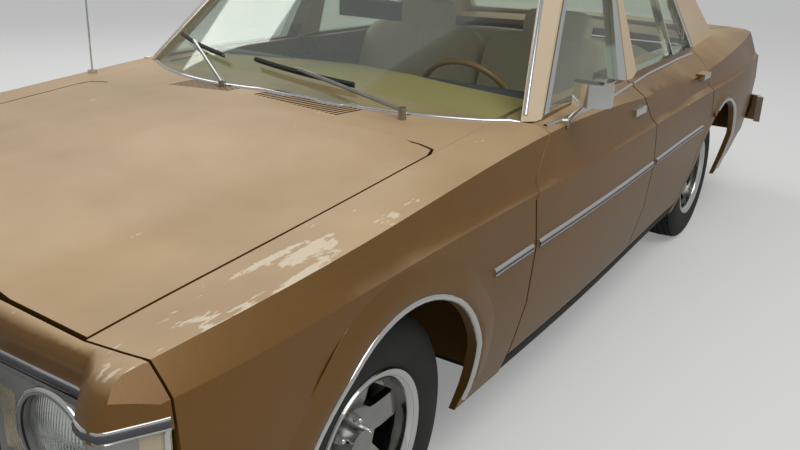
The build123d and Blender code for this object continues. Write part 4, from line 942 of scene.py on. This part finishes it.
@dataclass
class RoadWheel:
    """A tyre with its tread, and a styled plated wheel with a trim ring and nuts."""

    centre: Point
    side: int
    word: str
    nut_count: int = 5
    nut_ring_r: float = 0.0575
    nut_seat: float = 0.030
    crown_r: float = 324.8
    crown_fall: float = 0.045
    groove_depth: float = 7.0
    tread_facets: int = 180
    wave_count: int = 45
    wave_mm: float = 2.2
    notch_mm: float = 5.0
    notch_every: int = 3
    shoulder_mm: float = 40.0

    def build(self) -> None:
        """Makes the tyre and dresses the rim."""
        body = f"wheel_{self.word}"
        self.tyre(body)
        merged_copy(f"rim_{self.word}", f"rim_{self.word}_plated", "worn_chrome", 30)
        ring = [(186, 92), (192, 90), (197.5, 92.5), (196, 94.5), (190, 93.6), (182, 91), (172, 84),
                (170, 78), (174, 78)]
        turned(f"trim_ring_{self.word}", ring, self.centre, self.side, "chrome", body)
        place = (Matrix.Translation(self.centre) @ Matrix.Rotation(-self.side * math.pi / 2, 4, "X")
                 @ Matrix.Translation((0, 0, self.nut_seat))
                 @ Matrix.Rotation(math.pi / self.nut_count, 4, "Z"))
        RingRepeater(self.nut_count, self.nut_ring_r).build(
            f"wheel_nuts_{self.word}", small_part(nut_shape(0.011, 0.014)), place, "chrome", body)

    def tyre(self, body: str) -> None:
        """Makes the tyre from sidewalls and five ribs, with wavy grooves and notched shoulders."""
        sidewall = [(178.6, -72), (190, -82), (206, -92), (226, -96.5), (250, -97.3), (272, -96),
                    (292, -91.5), (308, -83), (317, -74)]
        ribs = [(-66, -46), (-40, -16), (-10, 10), (16, 40), (46, 66)]
        tread = []
        for low, high in ribs:
            crown = self.crown_r - abs(low + high) / 2 * self.crown_fall
            foot = crown - self.groove_depth
            tread += [(foot, low - 0.5), (crown, low + 0.8), (crown, high - 0.8), (foot, high + 0.5)]
        section = sidewall + tread + [(r, -w) for r, w in sidewall[::-1]]
        verts = []
        for i in range(self.tread_facets):
            turn = 2 * math.pi * i / self.tread_facets
            sway = self.wave_mm * math.sin(turn * self.wave_count)
            for k, (r, w) in enumerate(section):
                on_tread = len(sidewall) <= k < len(sidewall) + len(tread)
                lateral = w + (sway if on_tread else 0.0)
                notched = on_tread and i % self.notch_every == 0 and abs(w) > self.shoulder_mm
                radius = (r - (self.notch_mm if notched else 0.0)) * MM
                verts.append(Vector((self.centre[0] + radius * math.sin(turn),
                                     self.centre[1] + self.side * lateral * MM,
                                     self.centre[2] + radius * math.cos(turn))))
        faces = join_rings(self.tread_facets, len(section))
        piece = make_piece(f"tyre_{self.word}_tread", verts, faces, "tyre", body, 40)
        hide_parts(f"tyre_{self.word}")


@dataclass
class FrontEnd:
    """Lamps, grille and bumpers with their bright and rubber parts."""

    bezel_x: float = 2.240
    lamp_y: float = 0.668
    lamp_z: float = 0.650
    rim_r: float = 0.0975
    seal_r: float = 0.0905
    parking_y: float = 0.575
    marker_y: float = 0.84
    bars_x: float = 2.237
    bars_half: float = 0.485
    bezel_y: float = 0.494
    strip_z: float = 0.4715
    strip_half: float = 0.84

    def build(self) -> None:
        """Dresses the nodes at both ends of the car."""
        for node, finish in (("grille", "chrome"), ("front_bumper", "chrome"), ("rear_bumper", "chrome"),
                             ("front_lamps", "clear_lens"), ("tail_lamps", "red_lens")):
            piece = merged_copy(node, f"{node}_shown", finish)
            if node == "front_lamps":
                paint_regions(piece, (("parking_lens", lambda p: abs(p.y) < self.parking_y),
                                      ("marker_lens", lambda p: abs(p.y) > self.marker_y)))
            if node == "grille":
                paint_regions(piece, (
                    ("black", lambda p: p.x < self.bars_x and abs(p.y) < self.bars_half),
                    ("silver_paint", lambda p: abs(p.y) > self.bezel_y)))
        self.bumper_strips()
        for side, word in SIDES:
            y = side * self.lamp_y
            self.lamp_ring(f"headlamp_rim_{word}", y, self.rim_r, half_round(9, 6), "chrome")
            self.lamp_ring(f"headlamp_seal_{word}", y, self.seal_r, flat_strip(4, 2.6, 0.5), "black")

    def lamp_ring(self, name: str, y: float, radius: float, profile: list[tuple[float, float]],
                  finish: str) -> None:
        """A ring on the bezel's face, round a headlamp."""
        path = []
        steps = 64
        for step in range(steps):
            turn = 2 * math.pi * step / steps
            across, up = radius * math.sin(turn), radius * math.cos(turn)
            path.append((Vector((self.bezel_x, y + across, self.lamp_z + up)), Vector((1, 0, 0))))
        sweep(name, path, profile, finish, "root", closed=True)

    def bumper_strips(self) -> None:
        """Black rubber strip along each bumper's face."""
        for node, facing in (("front_bumper", 1), ("rear_bumper", -1)):
            skin = Skin((node,))
            places = spread(-self.strip_half, self.strip_half, 60)
            path = [skin.front(y, self.strip_z, facing) for y in places]
            sweep(f"{node}_strip", smooth_path(path, 3), flat_strip(52, 5, 2.0), "rubber", "root")


@dataclass
class Pad:
    """A stuffed seat pad: a soft-cornered crowned form with sewn channels on its face."""

    name: str
    size: tuple[float, float, float]
    place: Matrix
    node: str
    pleat_m: float = 0.095
    pleat_depth: float = 0.007
    pleat_sharpness: float = 0.6
    squareness: float = 5.0
    cuts: int = 29
    face_from: float = 0.3
    end_fade: int = 6
    edge_fade: int = 10
    fill: float = 0.7

    def build(self) -> None:
        """Makes the pad, with its channels running along its local X on the +Z face."""
        work = bmesh.new()
        bmesh.ops.create_cube(work, size=2.0)
        bmesh.ops.subdivide_edges(work, edges=work.edges[:], cuts=self.cuts, use_grid_fill=True)
        half = Vector(self.size) / 2
        for vert in work.verts:
            co = vert.co
            reach = sum(abs(c) ** self.squareness for c in co) ** (1 / self.squareness)
            soft = co / reach
            point = Vector(soft[i] * half[i] for i in range(3))
            if self.pleat_m and soft.z > self.face_from:
                lengthways = max(0.0, 1 - abs(soft.x) ** self.end_fade)
                sideways = max(0.0, 1 - abs(soft.y) ** self.edge_fade)
                wave = abs(math.sin(math.pi * point.y / self.pleat_m))
                point.z -= self.pleat_depth * (1 - wave ** self.pleat_sharpness) * (lengthways * sideways)
            vert.co = self.place @ point
        mesh = bpy.data.meshes.new(self.name)
        work.to_mesh(mesh)
        work.free()
        # The seat vinyl is paler than its own tan, partly painted sunlight.
        piece = dress_mesh(self.name, mesh, "seat", body_of(self.node), 60)
        finishing = piece.modifiers.new("smooth", "SUBSURF")
        finishing.levels = finishing.render_levels = 1
        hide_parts(self.node)


def leaning(x: float, y: float, z: float, lean: float) -> Matrix:
    """Where a pad goes: its middle, and how far its face tips back from level."""
    return Matrix.Translation((x, y, z)) @ Matrix.Rotation(math.radians(lean), 4, "Y")


@dataclass
class Cabin:
    """Seats, dash, steering wheel and mirror."""

    seat_y: float = 0.327
    restraint_y: float = 0.33
    dash_top_x: float = 0.500
    dash_top_z: float = 0.90
    dash_pad_x: float = 0.507
    dash_pad_z: float = 0.905
    hub: Point = (0.290, 0.350, 0.835)
    hub_reach: float = 0.178

    def seats(self) -> None:
        """Front bench with two wide head restraints, and the pleated rear bench."""
        for side, word in SIDES:
            y = side * self.seat_y
            Pad(f"front_cushion_{word}", (0.50, 0.65, 0.17), leaning(-0.085, y, 0.478, -4),
                "front_seat").build()
            Pad(f"front_backrest_{word}", (0.54, 0.64, 0.13), leaning(-0.437, y, 0.760, 73),
                "front_seat").build()
            Pad(f"head_restraint_{word}", (0.15, 0.30, 0.085),
                leaning(-0.508, side * self.restraint_y, 1.050, 78), "front_seat", pleat_m=0.0).build()
        rounded_box("front_seat_base", (-0.30, -0.60, 0.268), (0.10, 0.60, 0.42), 0.02, "black", "root")
        Pad("rear_cushion", (0.47, 1.18, 0.15), leaning(-0.965, 0, 0.535, -3), "rear_seat").build()
        Pad("rear_backrest", (0.42, 1.19, 0.12), leaning(-1.075, 0, 0.745, 66), "rear_seat").build()

    def build(self) -> None:
        """Dresses what shows through the glass."""
        for node, finish in (("dashboard", "dash"), ("steering_wheel", "wood"), ("steering_column", "black"),
                             ("interior_mirror", "black")):
            piece = merged_copy(node, f"{node}_shown", finish)
            # The dash top's paler vinyl is partly painted sunlight.
            if node == "dashboard":
                paint_regions(piece, (
                    ("dash_top", lambda p: p.z > self.dash_top_z and p.x > self.dash_top_x),
                    ("dash_pad", lambda p: p.z > self.dash_pad_z and p.x < self.dash_pad_x)))
            if node == "steering_wheel":
                hub = Vector(self.hub)
                paint_regions(piece, (("dash", lambda p: (p - hub).length < self.hub_reach),))
        self.seats()


@dataclass
class Fittings:
    """Wipers, aerial and door mirror."""

    mirror_x: float = 0.6165
    mirror_z: float = 0.98
    blades: tuple[tuple[str, tuple[float, float], tuple[float, float]], ...] = (
        ("left", (-0.111, 1.017), (0.285, 0.988)), ("right", (-0.634, 1.029), (-0.272, 1.011)))

    def blade_rubber(self) -> None:
        """Rubber edge under each blade, down to the glass."""
        for word, start, end in self.blades:
            path = []
            for share in spread(0.0, 1.0, 14):
                y, z = (start[0] + (end[0] - start[0]) * share, start[1] + (end[1] - start[1]) * share)
                path.append((glass_point(y, z, 0), GLASS_NORMAL))
            half = [(-1.2, 1), (-1.6, 6), (-5.5, 9), (-6.5, 16), (-5, 21)]
            profile = half + [(-across, out) for across, out in half[::-1]]
            sweep(f"wiper_rubber_{word}", path, profile, "rubber", "root")

    def build(self) -> None:
        """Dresses the small outside parts."""
        for node, finish in (("wipers", "worn_chrome"), ("aerial", "chrome"), ("door_mirror", "chrome")):
            piece = merged_copy(node, f"{node}_shown", finish)
            if node == "door_mirror":
                paint_regions(piece, (
                    ("silver", lambda p: p.x < self.mirror_x and p.z > self.mirror_z),))
        self.blade_rubber()


@dataclass
class Studio:
    """Camera at the photograph's viewpoint, plain floor and soft lights."""

    eye: Point = (2.9058, 1.7387, 1.4723)
    yaw: float = -147.51
    pitch: float = -19.91
    roll: float = 2.03
    focal_px: float = 830.4
    width_px: int = 800
    centre_up_px: float = 6.3
    floor_lift: float = 0.28

    def camera(self) -> None:
        """Aims the camera by its yaw, pitch and roll."""
        yaw, pitch, roll = (math.radians(a) for a in (self.yaw, self.pitch, self.roll))
        ahead = Vector((math.cos(pitch) * math.cos(yaw), math.cos(pitch) * math.sin(yaw), math.sin(pitch)))
        right = ahead.cross(Vector((0, 0, 1))).normalized()
        up = right.cross(ahead)
        turned_right = right * math.cos(roll) + up * math.sin(roll)
        turned_up = up * math.cos(roll) - right * math.sin(roll)
        lens = bpy.data.cameras.new("photo_camera")
        lens.sensor_width = 36.0
        lens.lens = self.focal_px / self.width_px * lens.sensor_width
        lens.shift_y = -self.centre_up_px / self.width_px
        camera = bpy.data.objects.new("photo_camera", lens)
        camera.matrix_world = Matrix((turned_right, turned_up, -ahead)).transposed().to_4x4()
        camera.matrix_world.translation = self.eye
        bpy.context.scene.collection.objects.link(camera)
        bpy.context.scene.camera = camera

    def seen_rays(self, tree: bpy.types.NodeTree) -> bpy.types.NodeSocket:
        """Picks out the rays that reach the eye straight or through glass."""
        rays = add_node(tree, "ShaderNodeLightPath")
        seen = add_node(tree, "ShaderNodeMath", {"operation": "MAXIMUM"},
                        {0: rays.outputs["Is Camera Ray"], 1: rays.outputs["Is Transmission Ray"]})
        return seen.outputs[0]

    def floor(self) -> None:
        """Pale floor that keeps the shadow and stays bright to the eye."""
        mesh = bpy.data.meshes.new("floor")
        reach = 60.0
        mesh.from_pydata([(-reach, -reach, 0), (reach, -reach, 0), (reach, reach, 0), (-reach, reach, 0)], [],
                         [(0, 1, 2, 3)])
        floor = bpy.data.objects.new("floor", mesh)
        plain = bpy.data.materials.new("pale_floor")
        plain.use_nodes = True
        surface = plain.node_tree.nodes["Principled BSDF"]
        surface.inputs["Base Color"].default_value = linear("cfcfcc")
        surface.inputs["Roughness"].default_value = 0.9
        tree = plain.node_tree
        glow = add_node(tree, "ShaderNodeMath", {"operation": "MULTIPLY"},
                        {0: self.seen_rays(tree), 1: self.floor_lift})
        surface.inputs["Emission Color"].default_value = linear("e2e3e2")
        tree.links.new(glow.outputs[0], surface.inputs["Emission Strength"])
        mesh.materials.append(plain)
        bpy.context.scene.collection.objects.link(floor)

    def light(self, name: str, place: Point, aim: Point, size: tuple[float, float], power: float) -> None:
        """A soft rectangular lamp aimed at a point."""
        lamp = bpy.data.lights.new(name, "AREA")
        lamp.shape = "RECTANGLE"
        lamp.size, lamp.size_y = size
        lamp.energy = power
        holder = bpy.data.objects.new(name, lamp)
        direction = Vector(aim) - Vector(place)
        holder.matrix_world = direction.to_track_quat("-Z", "Y").to_matrix().to_4x4()
        holder.matrix_world.translation = place
        bpy.context.scene.collection.objects.link(holder)

    def world(self) -> None:
        """Plain light all round, with a pale backdrop for the eye, also through glass."""
        world = bpy.data.worlds.new("studio")
        world.use_nodes = True
        tree = world.node_tree
        back = tree.nodes["Background"]
        back.inputs[0].default_value = linear("e8eaec")
        back.inputs[1].default_value = 0.5
        shown = add_node(tree, "ShaderNodeBackground", None, {0: linear("e9ebec"), 1: 0.9})
        mix = add_node(tree, "ShaderNodeMixShader", None,
                       {0: self.seen_rays(tree), 1: back.outputs[0], 2: shown.outputs[0]})
        tree.links.new(mix.outputs[0], tree.nodes["World Output"].inputs[0])
        bpy.context.scene.world = world

    def build(self) -> None:
        """Sets up the whole studio."""
        self.camera()
        self.floor()
        self.world()
        self.light("key_light", (2.0, 3.5, 6.0), (0.3, 0.0, 0.5), (5.0, 4.0), 190)
        self.light("far_light", (-3.0, -5.0, 5.0), (0.0, 0.0, 0.5), (6.0, 3.0), 110)
        bpy.context.scene.view_settings.view_transform = "Standard"


def main() -> None:
    """Builds the car's looks sub-assembly by sub-assembly."""
    logging.basicConfig(level=logging.INFO, format="%(name)s: %(message)s")
    Studio().build()
    Bodywork().build()
    Trim().build()
    for end, axle_x, track in (("front", FRONT_AXLE_X, FRONT_TRACK), ("rear", REAR_AXLE_X, REAR_TRACK)):
        for side, word in SIDES:
            RoadWheel((axle_x, side * track / 2, TYRE_R), side, f"{end}_{word}").build()
    FrontEnd().build()
    Cabin().build()
    Fittings().build()


if __name__ == "__main__":
    main()
